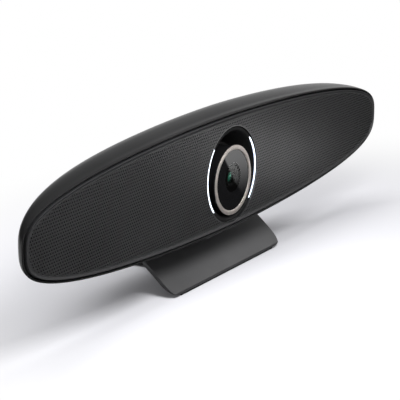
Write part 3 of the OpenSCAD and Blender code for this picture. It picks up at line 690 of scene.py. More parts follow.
@dataclass
class Shell:
    """The rear housing, and the front frame's border at the seam's inner side.

    Each row of the loft has five shares: of the depth, of the half length, of the half height above and
    below the middle, and how far the middle rises.
    """

    outline: BarOutline
    depth: float = 62.0
    wall: float = 2.4
    lip_wall: float = 1.6
    lip_round: float = 0.5
    lip_turns: tuple[float, ...] = (20.05, 45.84, 71.62)
    seam_gap: float = 1.2
    border_w: float = 3.1
    border_front: float = -1.1
    border_round: float = 0.45
    border_turns: tuple[float, ...] = (0, 22.5, 45, 67.5, 90, 110, 130)
    border_inner: float = -0.3
    baffle_front: float = 0.2
    baffle_back: float = 3.2
    camera_hole_r: float = 36.5
    driver_x: float = 112.0
    driver_hole_r: float = 22.0
    radiator_x: float = 182.0
    radiator_hole_r: float = 13.0
    radiator_straight: float = 7.0
    port_w: float = 112.0
    port_h: float = 18.0
    insert_x: float = 75.0
    insert_r: float = 3.25
    insert_l: float = 8.0
    hole_steps: int = 96
    radiator_steps: int = 64
    insert_steps: int = 48
    stages: int = 4
    loft_shares: tuple[tuple[float, ...], ...] = (
        (0, 1, 1, 1, 0), (0.048, 0.996, 1.016, 1, 0.027), (0.097, 0.985, 1.041, 1, 0.059),
        (0.161, 0.957, 1.070, 1, 0.104), (0.226, 0.916, 1.090, 1, 0.153),
        (0.290, 0.858, 1.083, 0.990, 0.203), (0.339, 0.802, 1.034, 0.972, 0.226),
        (0.419, 0.700, 0.957, 0.940, 0.192), (0.548, 0.600, 0.837, 0.860, 0.135),
        (0.742, 0.500, 0.677, 0.720, 0.056), (0.903, 0.430, 0.542, 0.580, 0),
        (1, 0.380, 0.451, 0.490, 0))

    def build(self) -> None:
        """Make and dress the shell's pieces."""
        self.housing()
        self.front_border()

    def rows(self) -> list[Sequence[float]]:
        """The rows of the loft, with smooth steps between the drawn ones.

        Returns:
            All rows from front to back.
        """
        padded = (self.loft_shares[0], *self.loft_shares, self.loft_shares[-1])
        stretches = zip(padded, padded[1:], padded[2:], padded[3:])
        rows = [blend_rows(*four, step / self.stages) for four in stretches for step in range(self.stages)]
        return [*rows, self.loft_shares[-1]]

    def loft_ring(self, row: Sequence[float], inset: float, depth: float) -> Ring:
        """One ring of the housing.

        Args:
            row: The ring's shares.
            inset: How far it lies inside the outside.
            depth: The depth of the whole loft.

        Returns:
            The ring.
        """
        o = self.outline
        behind, along, above, below, rise = row
        middle = rise * o.half_height
        long = along * o.half_length - inset
        up = above * o.half_height - middle - inset
        down = below * o.half_height + middle - inset
        return [(long * x, o.lip_y + behind * depth, o.centre_z + middle + z * (up if z > 0 else down))
                for x, z in o.unit_ring()]

    def housing(self) -> None:
        """The moulded back shell: outside, rounded lip, pocket and hollow, with its openings."""
        o = self.outline
        rows = self.rows()
        outside = [self.loft_ring(row, 0, self.depth) for row in rows]
        outside[0] = o.ring(0, self.lip_round)
        edge = [(self.lip_round * (1 - math.cos(turn)), self.lip_round * (1 - math.sin(turn)))
                for turn in map(math.radians, self.lip_turns)]
        front = [o.ring(inset, depth) for inset, depth in edge]
        inner = [o.ring(self.lip_wall - inset, depth) for inset, depth in reversed(edge)]
        pocket = [o.ring(self.lip_wall, self.lip_round), o.ring(self.lip_wall, self.baffle_back)]
        hollow = [self.loft_ring(row, self.wall, self.depth - self.wall) for row in rows
                  if row[0] * (self.depth - self.wall) > self.baffle_back]
        shell = Workshop.sweep("rear_shell", [*reversed(outside), *front, *inner, *pocket, *hollow])
        back = o.lip_y + self.depth
        openings = [Workshop.block("opening",
                                   (-self.port_w / 2, back - 2 * self.wall, o.centre_z - self.port_h / 2),
                                   (self.port_w / 2, back + self.wall, o.centre_z + self.port_h / 2))]
        for side in Side:
            profile = [(self.insert_r, back - self.insert_l), (self.insert_r, back + self.wall)]
            openings.append(Workshop.lathe("hole", profile, (side.value * self.insert_x, o.centre_z),
                                           self.insert_steps))
        Workshop.cut(shell, openings)
        Workshop.dress(shell, Body.HEAD, SHELL_PLASTIC, "housing_shell", angle=32, replaces=["rear_housing"])

    def front_border(self) -> None:
        """The front frame: a border that falls inwards to the grille, in one with the baffle behind it."""
        o = self.outline
        inset = self.lip_wall + self.seam_gap
        rings = [o.ring(inset, self.baffle_back)]
        for turn in map(math.radians, self.border_turns):
            across = self.border_round * (1 - math.cos(turn))
            down = self.border_round * (1 - math.sin(turn))
            rings.append(o.ring(inset + across, self.border_front + down))
        rings += [o.ring(inset + self.border_w, depth) for depth in (self.border_inner, self.baffle_front)]
        border = Workshop.sweep("front_border", rings)
        holes = [self.hole((0, o.centre_z - o.light_drop), self.camera_hole_r, self.hole_steps)]
        for side in Side:
            driver, radiator = ((side.value * x, o.centre_z) for x in (self.driver_x, self.radiator_x))
            holes.append(self.hole(driver, self.driver_hole_r, self.hole_steps))
            holes.append(self.hole(radiator, self.radiator_hole_r, self.radiator_steps,
                                   self.radiator_straight))
        Workshop.cut(border, holes)
        Workshop.dress(border, Body.HEAD, FRONT_PLASTIC, "front_border", angle=40, replaces=["front_frame"])

    def hole(self, centre: Pair, radius: float, steps: int, straight: float = 0.0) -> Piece:
        """A cutter through the baffle, round or with two round ends.

        Args:
            centre: Its middle along X and Z.
            radius: The radius of its ends.
            steps: The number of points round it.
            straight: How far each end lies from its middle.

        Returns:
            The cutter, which stands well clear of the baffle.
        """
        rings = []
        for depth in (-self.baffle_back, 2 * self.baffle_back):
            ring = circle(radius, self.outline.lip_y + depth, centre, steps)
            rings.append([(x + math.copysign(straight, x - centre[0]), y, z) for x, y, z in ring])
        return Workshop.sweep("hole", rings)


@dataclass
class Grille:
    """The perforated sheet over the whole front, gently crowned, with its plain folded edge."""

    outline: BarOutline
    inset: float = 5.2
    front: float = -0.5
    crown: float = 0.1
    wall: float = 0.6
    pitch: float = 2.46
    cell_sides: int = 6
    hole_share: float = 0.56
    merge_share: float = 0.05
    edge_w: float = 0.8
    edge_round: float = 0.15
    edge_proud: float = 0.03
    camera_hole_r: float = 36.6

    def build(self) -> None:
        """Array one staggered cell over the front, trim it, thicken it and add the plain edges."""
        sheet = self.cells()
        self.trim(sheet)
        self.thicken(sheet)
        for vertex in sheet.data.vertices:
            x, y, z = vertex.co / MM
            vertex.co.y = (self.surface(x, z) + y) * MM
        sheet = Workshop.join("grille_sheet", [sheet, self.outer_edge(), self.camera_edge()])
        Workshop.dress(sheet, Body.HEAD, GRILLE_COAT, "grille_sheet", angle=40, replaces=["grille"])

    def surface(self, x: float, z: float) -> float:
        """The crowned front of the sheet.

        Args:
            x: A point's place along X.
            z: Its place along Z.

        Returns:
            The front's place along Y there.
        """
        o = self.outline
        bow = max(0.0, 1 - ((z - o.centre_z) / o.half_height) ** 2) * max(0.0, 1 - (x / o.half_length) ** 2)
        return o.lip_y + self.front - self.crown * bow

    def cells(self) -> Piece:
        """Model one six-sided cell with its hole and repeat it in staggered rows.

        Returns:
            The flat sheet of cells.
        """
        o = self.outline
        row_step = self.pitch * math.sqrt(3) / 2
        parts = []
        for shift, rise in ((0.0, 0.0), (self.pitch / 2, row_step)):
            bpy.ops.mesh.primitive_circle_add(
                vertices=self.cell_sides, radius=self.pitch / math.sqrt(3) * MM, fill_type="NGON",
                location=(shift * MM, 0, rise * MM), rotation=(math.pi / 2, math.pi / 6, 0))
            parts.append(bpy.context.object)
            with Workshop.editing(parts[-1]):
                bpy.ops.mesh.inset(thickness=self.pitch / 2 * (1 - self.hole_share) * MM)
                bpy.ops.mesh.delete(type="FACE")
            Workshop.settle(parts[-1])
        sheet = Workshop.join("grille_sheet", parts)
        across = 2 * math.ceil(o.half_length / self.pitch)
        up = 2 * math.ceil(o.half_height / row_step / 2)
        sheet.location = (-across / 2 * self.pitch * MM, 0, (o.centre_z - up * row_step) * MM)
        Workshop.settle(sheet)
        for count, offset in ((across, (self.pitch * MM, 0, 0)), (up, (0, 0, 2 * row_step * MM))):
            Workshop.modify(sheet, "ARRAY", count=count, use_relative_offset=False, use_constant_offset=True,
                            constant_offset_displace=offset, use_merge_vertices=True,
                            merge_threshold=self.pitch * self.merge_share * MM)
        return sheet

    def trim(self, sheet: Piece) -> None:
        """Delete what leaves the outline or enters the camera's hole; the plain edges hide the rest.

        Args:
            sheet: The sheet of cells.
        """
        o = self.outline
        spare = self.edge_w / 2
        for group in (sheet.data.edges, sheet.data.vertices):
            group.foreach_set("select", [False] * len(group))
        for face in sheet.data.polygons:
            x, _, z = face.center / MM
            reach = math.hypot(x, z - o.centre_z + o.light_drop)
            face.select = o.fill(x, z, self.inset + spare) > 1 or reach < self.camera_hole_r + spare
        with Workshop.editing(sheet, everything=False):
            bpy.ops.mesh.select_mode(type="FACE")
            bpy.ops.mesh.delete(type="FACE")

    def thicken(self, sheet: Piece) -> None:
        """Give every hole and the rim a wall by drawing the open edges back.

        Args:
            sheet: The trimmed sheet.
        """
        with Workshop.editing(sheet):
            bpy.ops.mesh.normals_make_consistent(inside=False)
            bpy.ops.mesh.select_mode(type="EDGE")
            bpy.ops.mesh.select_all(action="DESELECT")
            bpy.ops.mesh.select_non_manifold(extend=False, use_wire=False, use_multi_face=False,
                                             use_non_contiguous=False, use_verts=False)
            bpy.ops.mesh.extrude_region_move(TRANSFORM_OT_translate={"value": (0, self.wall * MM, 0)})

    def band(self, name: str, flat_rings: Sequence[Ring]) -> Piece:
        """A plain band that follows the sheet on both its sides.

        Args:
            name: The new object's name.
            flat_rings: Rings across the band's width, from its back round its front to its back.

        Returns:
            The band.
        """
        back = self.wall + self.edge_proud
        depths = (back, 0.0, -self.edge_proud, -self.edge_proud, back)
        rings = [[(x, self.surface(x, z) + depth, z) for x, _, z in ring]
                 for ring, depth in zip(flat_rings, depths)]
        return Workshop.sweep(name, rings, tube=True)

    def edge_steps(self) -> tuple[float, ...]:
        """Distances of a band's rings from its open side."""
        return 0.0, 0.0, self.edge_round, self.edge_w, self.edge_w

    def outer_edge(self) -> Piece:
        """The plain edge along the border."""
        rings = [self.outline.ring(self.inset + step, 0) for step in self.edge_steps()]
        return self.band("outer_edge", rings)

    def camera_edge(self) -> Piece:
        """The plain edge round the camera's hole, drawn in where the border passes it.

        Returns:
            The edge.
        """
        o = self.outline
        lowest = o.centre_z - (o.half_height - self.inset)
        rings = []
        for step in self.edge_steps():
            ring = circle(self.camera_hole_r + step, 0, (0.0, o.centre_z - o.light_drop), o.steps)
            rings.append([(x, y, max(z, lowest)) for x, y, z in ring])
        return self.band("camera_edge", rings)


@dataclass
class CameraEye:
    """The lit bowl and the round camera inside it."""

    outline: BarOutline
    camera_drop: float = 7.4
    lens_drop: float = 5.4
    steps: int = 128
    guide_r: float = 35.0
    guide_w: float = 2.4
    guide_front: float = 0.1
    guide_back: float = 2.2
    guide_angle: float = 43.0
    guide_steps: int = 48
    guide_end_share: float = 0.22
    guide_end_power: float = 2.6
    guide_round: float = 0.25
    guide_flat_share: float = 0.6
    slot_gap: float = 0.08
    slot_spare: float = 1.0
    rim_y: float = 0.35
    rim_t: float = 1.6
    rim_round: float = 0.2
    rim_land: float = 0.1
    rim_fall_w: float = 0.4
    rim_fall: float = 0.15
    rim_skin: float = 0.35
    band_r: float = 31.9
    band_back: float = 1.8
    band_round: float = 0.4
    band_front_round: float = 0.25
    band_back_round: float = 0.3
    floor_r: float = 27.2
    floor_y: float = 12.8
    floor_round: float = 0.5
    floor_draft: float = 0.2
    wall: float = 1.2
    can_hole_r: float = 25.7
    foot_r: float = 32.0
    foot_t: float = 3.0
    trim_r: float = 26.6
    trim_band: float = 3.6
    trim_front: float = -1.15
    trim_face_t: float = 0.55
    trim_back: float = 1.2
    trim_fine: float = 0.1
    trim_outer_w: float = 0.4
    trim_outer_t: float = 0.15
    trim_inner_w: float = 0.05
    trim_inner_t: float = 0.25
    trim_step: Pair = (1.5, 0.35)
    trim_step_depth: float = 0.12
    sleeve_inset: float = 0.25
    sleeve_gap: float = 0.02
    window_r: float = 23.85
    window_front: float = -0.6
    window_back: float = 0.6
    window_round: float = 0.2
    clear_r: float = 11.0
    barrel_r: float = 7.0
    barrel_front: float = 0.9
    barrel_back: float = 13.9
    barrel_round: float = 0.3
    barrel_steps: int = 96
    mouth_w: float = 1.5
    mouth_steps: int = 4
    mouth_step_w: float = 0.35
    mouth_step_t: float = 0.2
    mouth_tooth_w: float = 0.3
    mouth_tooth_t: float = 0.05
    mouth_start: float = 0.25
    lens_r: float = 4.62
    lens_gap: float = 0.1
    lens_steps: int = 64
    dome_start: float = 0.35
    dome_sag: float = 2.3
    dome_rings: int = 8
    dome_core_r: float = 0.05
    dome_side: float = 1.2
    dome_back: float = 1.4

    def build(self) -> None:
        """Make and dress the camera's pieces."""
        self.bowl()
        for side in Side:
            self.light_guide(side)
        self.ring()
        self.window()
        self.barrel()

    def revolve(self, name: str, parts: Sequence[tuple[Sequence[Pair], float]], steps: int,
                tube: bool = True) -> Piece:
        """Turn profiles about axes along the bar's depth, and join them into one piece.

        Args:
            name: The new object's name.
            parts: Each profile of radius and depth, and how far its axis lies below the bar's centre.
            steps: Points round each ring.
            tube: True closes the last ring onto the first; otherwise the ends are capped.

        Returns:
            The turned piece.
        """
        o = self.outline
        rings = [circle(radius, o.lip_y + depth, (0.0, o.centre_z - drop), steps)
                 for profile, drop in parts for radius, depth in profile]
        return Workshop.sweep(name, rings, tube)

    def crescent(self, side: Side, grow: float, front: float, back: float) -> Piece:
        """A curved bar that thins towards both ends, as the light guides do.

        Args:
            side: The end of the bar it faces.
            grow: How much wider than the guide it is, for a cutter.
            front: Depth of its front.
            back: Depth of its back.

        Returns:
            The solid crescent.
        """
        o = self.outline
        thin, power, flat = self.guide_end_share, self.guide_end_power, self.guide_flat_share
        shoulder = front + self.guide_round
        rings = []
        for i in range(self.guide_steps + 1):
            share = 2 * i / self.guide_steps - 1
            angle = math.radians(self.guide_angle * share) * (1 + grow / self.guide_r)
            taper = thin + (1 - thin) * math.sqrt(max(0.0, 1 - abs(share) ** power))
            half = self.guide_w / 2 * taper + grow
            section = ((-half, back), (-half, shoulder), (-half * flat, front),
                       (half * flat, front), (half, shoulder), (half, back))
            rings.append([(side.value * (self.guide_r + off) * math.cos(angle), o.lip_y + depth,
                           o.centre_z - o.light_drop + (self.guide_r + off) * math.sin(angle))
                          for off, depth in section])
        return Workshop.sweep("crescent", rings)

    def bowl(self) -> None:
        """The deep bowl: flange with two slots, slanted band, off-centre wall, floor and foot."""
        outer, inner = self.guide_r + self.guide_w / 2, self.guide_r - self.guide_w / 2
        flange_back, foot_back = self.rim_y + self.rim_t, self.floor_y + self.foot_t
        upper = [
            (outer, flange_back), (outer, self.rim_y + self.rim_round), (outer - self.rim_round, self.rim_y),
            (inner - self.rim_land, self.rim_y), (inner - self.rim_fall_w, self.rim_y + self.rim_fall),
            (self.band_r + self.band_round, self.band_back - self.band_front_round),
            (self.band_r, self.band_back + self.band_back_round)]
        lower = [
            (self.floor_r + self.floor_round, self.floor_y - self.floor_round),
            (self.floor_r - self.floor_draft, self.floor_y), (self.can_hole_r, self.floor_y),
            (self.can_hole_r, foot_back), (self.foot_r, foot_back), (self.foot_r, self.floor_y),
            (self.floor_r + self.wall, self.floor_y)]
        last = [(inner - self.rim_skin, flange_back)]
        light_drop = self.outline.light_drop
        parts = ((upper, light_drop), (lower, self.camera_drop), (last, light_drop))
        bowl = self.revolve("camera_recess", parts, self.steps)
        front, back = self.rim_y - self.slot_spare, self.guide_back + self.slot_spare
        Workshop.cut(bowl, [self.crescent(side, self.slot_gap, front, back) for side in Side])
        Workshop.dress(bowl, Body.HEAD, BOWL_PLASTIC, "bowl_plastic", angle=30, replaces=["camera_bowl"])

    def light_guide(self, side: Side) -> None:
        """One glowing light guide.

        Args:
            side: The end of the bar it faces.
        """
        guide = self.crescent(side, 0, self.guide_front, self.guide_back)
        end = side.name.lower()
        guide.name = "glow_arc_" + end
        Workshop.dress(guide, Body.HEAD, LIGHT_PLASTIC, "light_plastic", angle=50,
                       replaces=["light_guide_" + end])

    def ring(self) -> None:
        """The metal ring, with a fine step near its inner edge, on its black sleeve."""
        inner, fine = self.trim_r - self.trim_band, self.trim_fine
        front, join = self.trim_front, self.trim_front + self.trim_face_t
        stepped = front + self.trim_step_depth
        step_outer, step_inner = self.trim_step
        face = [
            (inner + fine, join), (self.trim_r - fine, join), (self.trim_r, join - fine),
            (self.trim_r - fine, front + self.trim_outer_t), (self.trim_r - self.trim_outer_w, front),
            (inner + step_outer, front), (inner + step_outer - fine, stepped), (inner + step_inner, stepped),
            (inner + self.trim_inner_w, front + self.trim_inner_t), (inner, join - fine)]
        low, high = self.window_r + fine, self.trim_r - self.sleeve_inset
        top = join + self.sleeve_gap
        sleeve = [(low, self.trim_back), (high, self.trim_back), (high, top), (low, top)]
        for name, profile, finish, slot in (("metal_ring", face, RING_METAL, "ring_metal"),
                                            ("ring_sleeve", sleeve, BLACK_METAL, "black_metal")):
            piece = self.revolve(name, [(profile, self.camera_drop)], self.steps)
            Workshop.dress(piece, Body.HEAD, finish, slot, angle=25, replaces=["trim_ring"])

    def window(self) -> None:
        """The glass disc: black print all over, with a clear spot in front of the lens."""
        front, back, edge = self.window_front, self.window_back, self.window_round
        outside = ((self.window_r - edge, back), (self.window_r, back - edge),
                   (self.window_r, front + edge), (self.window_r - edge, front))
        spot = ((self.clear_r, front), (self.clear_r, back))
        parts = ((outside, self.camera_drop), (spot, self.lens_drop))
        black = self.revolve("window_disc", parts, self.steps)
        Workshop.dress(black, Body.HEAD, PRINTED_GLASS, "window_glass", angle=30, replaces=["camera_window"])
        clear = self.revolve("clear_spot", [(spot[::-1], self.lens_drop)], self.steps, tube=False)
        Workshop.dress(clear, Body.HEAD, WINDOW_GLASS, "window_glass", angle=30)

    def barrel(self) -> None:
        """The lens barrel with stepped rings inside its mouth, and the domed front lens."""
        start, mouth_r = self.barrel_front, self.lens_r + self.mouth_w
        profile = [(self.lens_r + self.lens_gap, self.barrel_back), (self.barrel_r, self.barrel_back),
                   (self.barrel_r, start + self.barrel_round), (self.barrel_r - self.barrel_round, start),
                   (mouth_r, start)]
        for step in range(self.mouth_steps):
            radius = mouth_r - step * self.mouth_step_w
            depth = start + self.mouth_start + step * self.mouth_step_t
            profile += [(radius, depth), (radius - self.mouth_tooth_w, depth + self.mouth_tooth_t)]
        barrel = self.revolve("lens_tube", [(profile, self.lens_drop)], self.barrel_steps)
        Workshop.dress(barrel, Body.HEAD, INNER_BLACK, "black_metal", angle=30, replaces=["lens_barrel"])
        top = start + self.dome_start
        edge = top + self.dome_sag
        dome = [(max(self.lens_r * share, self.dome_core_r), top + self.dome_sag * share ** 2)
                for share in (step / self.dome_rings for step in range(self.dome_rings + 1))]
        dome += [(self.lens_r, edge + self.dome_side), (self.dome_core_r, edge + self.dome_back)]
        lens = self.revolve("lens_dome", [(dome, self.lens_drop)], self.lens_steps, tube=False)
        Workshop.dress(lens, Body.HEAD, LENS_GLASS, "lens_glass", angle=40, replaces=["front_lens"])


@dataclass
class PortBay:
    """The port panel, its sockets, the wall inserts and the two buttons."""

    frame: dict
    outline: BarOutline
    solids: tuple[RoundedSolid, ...] = (
        RoundedSolid("port_panel", "port_panel_dressed", 0.25, PANEL_PLASTIC, "panel_plastic"),
        RoundedSolid("power_socket", "power_socket_dressed", 0.2, CHIP_BLACK, "chip_plastic"),
        RoundedSolid("usb_socket", "usb_socket_dressed", 0.12, SOCKET_METAL, "socket_metal"),
        RoundedSolid("hdmi_socket", "hdmi_socket_dressed", 0.15, SOCKET_METAL, "socket_metal"),
        RoundedSolid("wall_inserts", "wall_inserts_dressed", 0.2, BRASS, "brass"))
    power_x: float = -27.0
    power_r: float = 4.0
    reset_x: float = -42.0
    reset_r: float = 1.8
    flange_w: float = 1.0
    flange_t: float = 1.0
    edge_round: float = 0.5
    edge_bulge: float = 0.15
    dish: tuple[Pair, ...] = ((0.6, 0.12), (0.25, 0.3))
    button_steps: int = 64

    def build(self) -> None:
        """Make and dress the back's small pieces."""
        for solid in self.solids:
            solid.build(self.frame)
        self.button("power_button", Body.POWER_BUTTON, self.power_x, self.power_r)
        self.button("reset_button", Body.RESET_BUTTON, self.reset_x, self.reset_r)

    def button(self, node: str, body: Body, x: float, radius: float) -> None:
        """A round button with a rounded edge and a shallow dish for the finger.

        Args:
            node: The solid that it replaces.
            body: The rigid body that it rides on.
            x: Its axis along X.
            radius: Its radius, without the hidden flange.
        """
        low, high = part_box(node)
        back, front = low.y / MM, high.y / MM
        shoulder = back + self.flange_t
        profile = [(radius + self.flange_w, back), (radius + self.flange_w, shoulder), (radius, shoulder),
                   (radius, front - self.edge_round), (radius - self.edge_bulge, front - self.edge_bulge),
                   (radius - self.edge_round, front)]
        profile += [(radius * share, front - depth) for share, depth in self.dish]
        piece = Workshop.lathe(node + "_cap", profile, (x, self.outline.centre_z), self.button_steps)
        Workshop.dress(piece, body, BUTTON_PLASTIC, "button_plastic", angle=32, replaces=[node])


@dataclass
class Stand:
    """The hinge bracket, the blade, the rear leg, their screws and the rubber feet."""

    frame: dict
    plates: tuple[RoundedSolid, ...] = (
        RoundedSolid("stand_blade", "blade", 0.7, STAND_COAT, "stand_metal", 30, Body.STAND),
        RoundedSolid("rear_leg", "leg", 0.6, STAND_COAT, "stand_metal", 30, Body.STAND),
        RoundedSolid("hinge_bracket", "bracket", 0.35, STAND_COAT, "stand_metal", angle=30))
    pivot: tuple[RoundedSolid, ...] = (
        RoundedSolid("hinge_pin", "pin", 0.2, SCREW_STEEL, "screw_steel", 40, Body.STAND),
        RoundedSolid("pin_nut", "nut", 0.2, SCREW_STEEL, "screw_steel", 40, Body.STAND),
        RoundedSolid("friction_washers", "washers", 0.2, NYLON, "washer_plastic", 40, Body.STAND))
    foot_round: float = 0.5
    head_r: float = 2.2
    head_slack: float = 0.05
    head_down: float = -0.2
    recess_share: float = 0.62
    recess_w: float = 0.7
    recess_depth: float = 0.7

    def build(self) -> None:
        """Make and dress the stand's pieces."""
        for plate in self.plates:
            plate.build(self.frame)
        for node in ("front_foot", "rear_foot"):
            self.foot(node)
        for piece in self.pivot:
            piece.build(self.frame)
        self.screws("bracket_screws", Body.HEAD)
        self.screws("leg_screws", Body.STAND)

    def foot(self, node: str) -> None:
        """A rubber foot with rounded edges.

        Args:
            node: The solid that it replaces.
        """
        low, high = (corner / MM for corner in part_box(node))
        piece = Workshop.block(node + "_rubber", tuple(low), tuple(high), self.foot_round)
        Workshop.dress(piece, Body.STAND, FOOT_RUBBER, "foot_rubber", angle=40, replaces=[node])

    def screws(self, node: str, body: Body) -> None:
        """Cut a cross recess into each head of a group of screws.

        Args:
            node: The group's solid.
            body: The rigid body that it rides on.
        """
        piece = Workshop.copy_node(self.frame, node, node + "_dressed", 0.0, 40)
        half = (self.head_r * self.recess_share, self.recess_w / 2, self.recess_depth)
        for centre, axis in self.head_faces(piece):
            turn = axis.to_track_quat("Z", "Y").to_matrix().to_4x4()
            cutters = []
            for quarter in (0.0, math.pi / 2):
                cutter = Workshop.block("recess", tuple(-h for h in half), half)
                cutter.matrix_world = Matrix.Translation(centre) @ turn @ Matrix.Rotation(quarter, 4, "Z")
                Workshop.settle(cutter)
                cutters.append(cutter)
            Workshop.cut(piece, cutters)
        Workshop.dress(piece, body, SCREW_STEEL, "screw_steel", angle=40, replaces=[node])

    def head_faces(self, piece: Piece) -> list[tuple[Vector, Vector]]:
        """Find the flat faces of the screw heads, which look downwards.

        Args:
            piece: The group of screws.

        Returns:
            Each face's middle and outward direction.
        """
        area = math.pi * (self.head_r * MM) ** 2
        return [(face.center.copy(), face.normal.copy()) for face in piece.data.polygons
                if abs(face.area - area) < area * self.head_slack and face.normal.z < self.head_down]


def finish_solids(frame: dict) -> None:
    """Give every solid its finish, also those that a dressed piece hides.
    """
    for name, node in frame["nodes"].items():
        node.data.materials.clear()
        node.data.materials.append(NODE_FINISHES.get(name, SHELL_PLASTIC).material())
    LOG.info("finished %d solids", len(frame["nodes"]))


@dataclass(frozen=True)
class Lobe:
    """A soft round brightening of the sky about a direction.

    Its reach is given as two cosines of the angle from that direction: where it starts and is full.
    """

    towards: Point
    reach: Pair
    level: float

    def wire(self, wiring: Wiring, direction: Socket) -> Socket:
        """What the lobe adds to the sky in a direction."""
        cosine = wiring.measure("DOT_PRODUCT", direction, tuple(Vector(self.towards).normalized()))
        return wiring.ease(cosine, self.reach, (0.0, self.level), unit=1.0)


@dataclass(frozen=True)
class Lamp:
    """A soft rectangular lamp that points at a place and doesn't show in the gloss."""

    name: str
    at: Point
    aim: Point
    size: Pair
    power: float

    def hang(self) -> None:
        """Put the lamp into the scene."""
        data = bpy.data.lights.new(self.name, "AREA")
        data.shape = "RECTANGLE"
        data.size, data.size_y = (side * MM for side in self.size)
        data.energy = self.power
        lamp = bpy.data.objects.new(self.name, data)
        lamp.visible_glossy = False
        bpy.context.scene.collection.objects.link(lamp)
        turn = (Vector(self.aim) - Vector(self.at)).to_track_quat("-Z", "Y").to_matrix().to_4x4()
        lamp.matrix_world = Matrix.Translation(metres(self.at)) @ turn


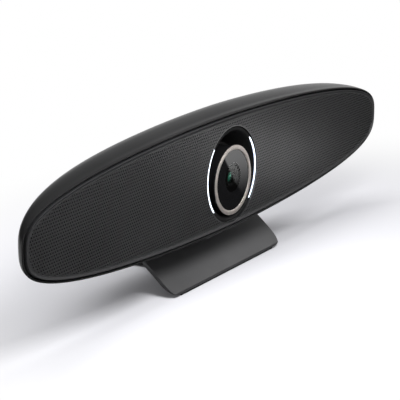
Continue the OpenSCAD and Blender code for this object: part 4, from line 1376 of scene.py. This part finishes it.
@dataclass
class Studio:
    """Plain floor, soft light and the camera at the photograph's viewing angle.

    The floor and the surround look white to the camera. In the object's gloss they are a soft
    bright patch, a dark side with a straight edge, and a bright horizon behind the bar.
    """

    camera_at: Point = (-890.3, -559.0, 338.3)
    forward: Point = (0.8210, 0.5064, -0.2639)
    roll: float = 0.24
    lens: float = 127.985
    sensor: float = 36.0
    view_end: float = 100000.0
    floor_half: float = 6000.0
    floor_colour: Colour = (0.66, 0.66, 0.69)
    shadow_at: Point = (40.0, -20.0, 0.0)
    shadow_squeeze: Point = (0.5, 0.8, 1.0)
    shadow_reach: Pair = (70.0, 260.0)
    fill_level: float = 0.45
    patch_at: Point = (300.0, -330.0, 0.0)
    patch_reach: Pair = (60.0, 230.0)
    patch_level: float = 3.2
    dark_level: float = 0.05
    edge_at: Point = (195.0, -142.0, 0.0)
    edge_normal: Point = (0.607, 0.795, 0.0)
    edge_reach: Pair = (-1.5, 1.5)
    behind_reach: Pair = (0.0, 150.0)
    behind_level: float = 0.95
    sky_level: float = 0.07
    white_level: float = 1.0
    horizon: Lobe = Lobe((0.85, 0.5, 0.1), (0.86, 0.99), 1.0)
    window: Lobe = Lobe((0.82, -0.4, 0.42), (0.84, 0.98), 0.6)
    glint: Lobe = Lobe((0.448, -0.874, 0.112), (0.99, 0.996), 12.0)
    overhead: Lamp = Lamp("overhead", (30, 60, 900), (0, 0, 0), (800, 400), 6.0)
    front_soft: Lamp = Lamp("front_soft", (-120, -220, 330), (-60, 0, 100), (200, 150), 1.6)

    def build(self) -> None:
        """Set the stage."""
        self.camera()
        self.floor()
        self.world()
        self.overhead.hang()
        self.front_soft.hang()

    def camera(self) -> None:
        """Place the camera from the fit of the photograph's perspective."""
        data = bpy.data.cameras.new("view")
        data.lens = self.lens
        data.sensor_width = self.sensor
        data.clip_end = self.view_end * MM
        camera = bpy.data.objects.new("view", data)
        bpy.context.scene.collection.objects.link(camera)
        look = Vector(self.forward).to_track_quat("-Z", "Y").to_matrix().to_4x4()
        tilt = Matrix.Rotation(math.radians(self.roll), 4, "Z")
        camera.matrix_world = Matrix.Translation(metres(self.camera_at)) @ look @ tilt
        bpy.context.scene.camera = camera

    def floor(self) -> None:
        """A pale floor that takes the object's shadow and shows the studio in the gloss."""
        bpy.ops.mesh.primitive_plane_add(size=2 * self.floor_half * MM, location=(0, 0, 0))
        floor = bpy.context.object
        floor.name = "floor"
        made = bpy.data.materials.new("pale_floor")
        made.use_nodes = True
        nodes = made.node_tree.nodes
        nodes.remove(nodes["Principled BSDF"])
        wiring = Wiring(made.node_tree)
        pale = wiring.node("BsdfDiffuse", {"Color": (*self.floor_colour, 1.0)})
        white = wiring.node("Emission", {"Strength": self.white_level})
        seen = wiring.node("Emission", {"Strength": self.gloss_level(wiring)})
        far = wiring.number("MULTIPLY", wiring.camera_ray(), self.far_share(wiring))
        plain = wiring.mix(far, pale.outputs[0], white.outputs[0])
        mixed = wiring.mix(wiring.seen_in_gloss(), plain, seen.outputs[0])
        wiring.feed(nodes["Material Output"], {"Surface": mixed})
        floor.data.materials.append(made)

    def far_share(self, wiring: Wiring) -> Socket:
        """How far the floor has turned to plain white.

        Args:
            wiring: Lays out the nodes.

        Returns:
            The share, from 0 under the bar to 1 away from it.
        """
        shifted = wiring.vector("SUBTRACT", wiring.place(), metres(self.shadow_at))
        away = wiring.measure("LENGTH", wiring.vector("MULTIPLY", shifted, self.shadow_squeeze))
        return wiring.ease(away, self.shadow_reach)

    def gloss_level(self, wiring: Wiring) -> Socket:
        """How bright the floor looks in the object's gloss, from the place on the floor.

        Args:
            wiring: Lays out the nodes.

        Returns:
            The level.
        """
        place = wiring.place()
        away = wiring.measure("DISTANCE", place, metres(self.patch_at))
        patch = wiring.ease(away, self.patch_reach, (self.patch_level, self.dark_level))
        shifted = wiring.vector("SUBTRACT", place, metres(self.edge_at))
        side = wiring.measure("DOT_PRODUCT", shifted, self.edge_normal)
        lit = wiring.number("MULTIPLY", patch, wiring.ease(side, self.edge_reach))
        front = wiring.number("MAXIMUM", lit, self.dark_level)
        back = wiring.measure("DOT_PRODUCT", place, (0.0, 1.0, 0.0))
        behind = wiring.ease(back, self.behind_reach, (0.0, self.behind_level))
        return wiring.number("MAXIMUM", front, behind)

    def world(self) -> None:
        """White to the camera, an even fill, and a soft sky with a bright horizon in the gloss."""
        world = bpy.data.worlds.new("surround")
        bpy.context.scene.world = world
        world.use_nodes = True
        wiring = Wiring(world.node_tree)
        direction = wiring.place("Generated")
        sky = self.sky_level
        for lobe in (self.horizon, self.window, self.glint):
            sky = wiring.number("ADD", lobe.wire(wiring, direction), sky)
        colour = (1.0, 1.0, 1.0, 1.0)
        fill, seen, white = (wiring.node("Background", {"Color": colour, "Strength": level}).outputs[0]
                             for level in (self.fill_level, sky, self.white_level))
        hidden = wiring.mix(wiring.seen_in_gloss(), fill, seen)
        mixed = wiring.mix(wiring.camera_ray(), hidden, white)
        wiring.feed(world.node_tree.nodes["World Output"], {"Surface": mixed})


def main() -> None:
    """Build everything in order."""
    logging.basicConfig(level=logging.INFO, format="%(message)s")
    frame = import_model()
    bpy.context.scene.view_settings.view_transform = "Standard"
    outline = BarOutline()
    Studio().build()
    finish_solids(frame)
    Shell(outline).build()
    Grille(outline).build()
    CameraEye(outline).build()
    PortBay(frame, outline).build()
    Stand(frame).build()


if __name__ == "__main__":
    main()
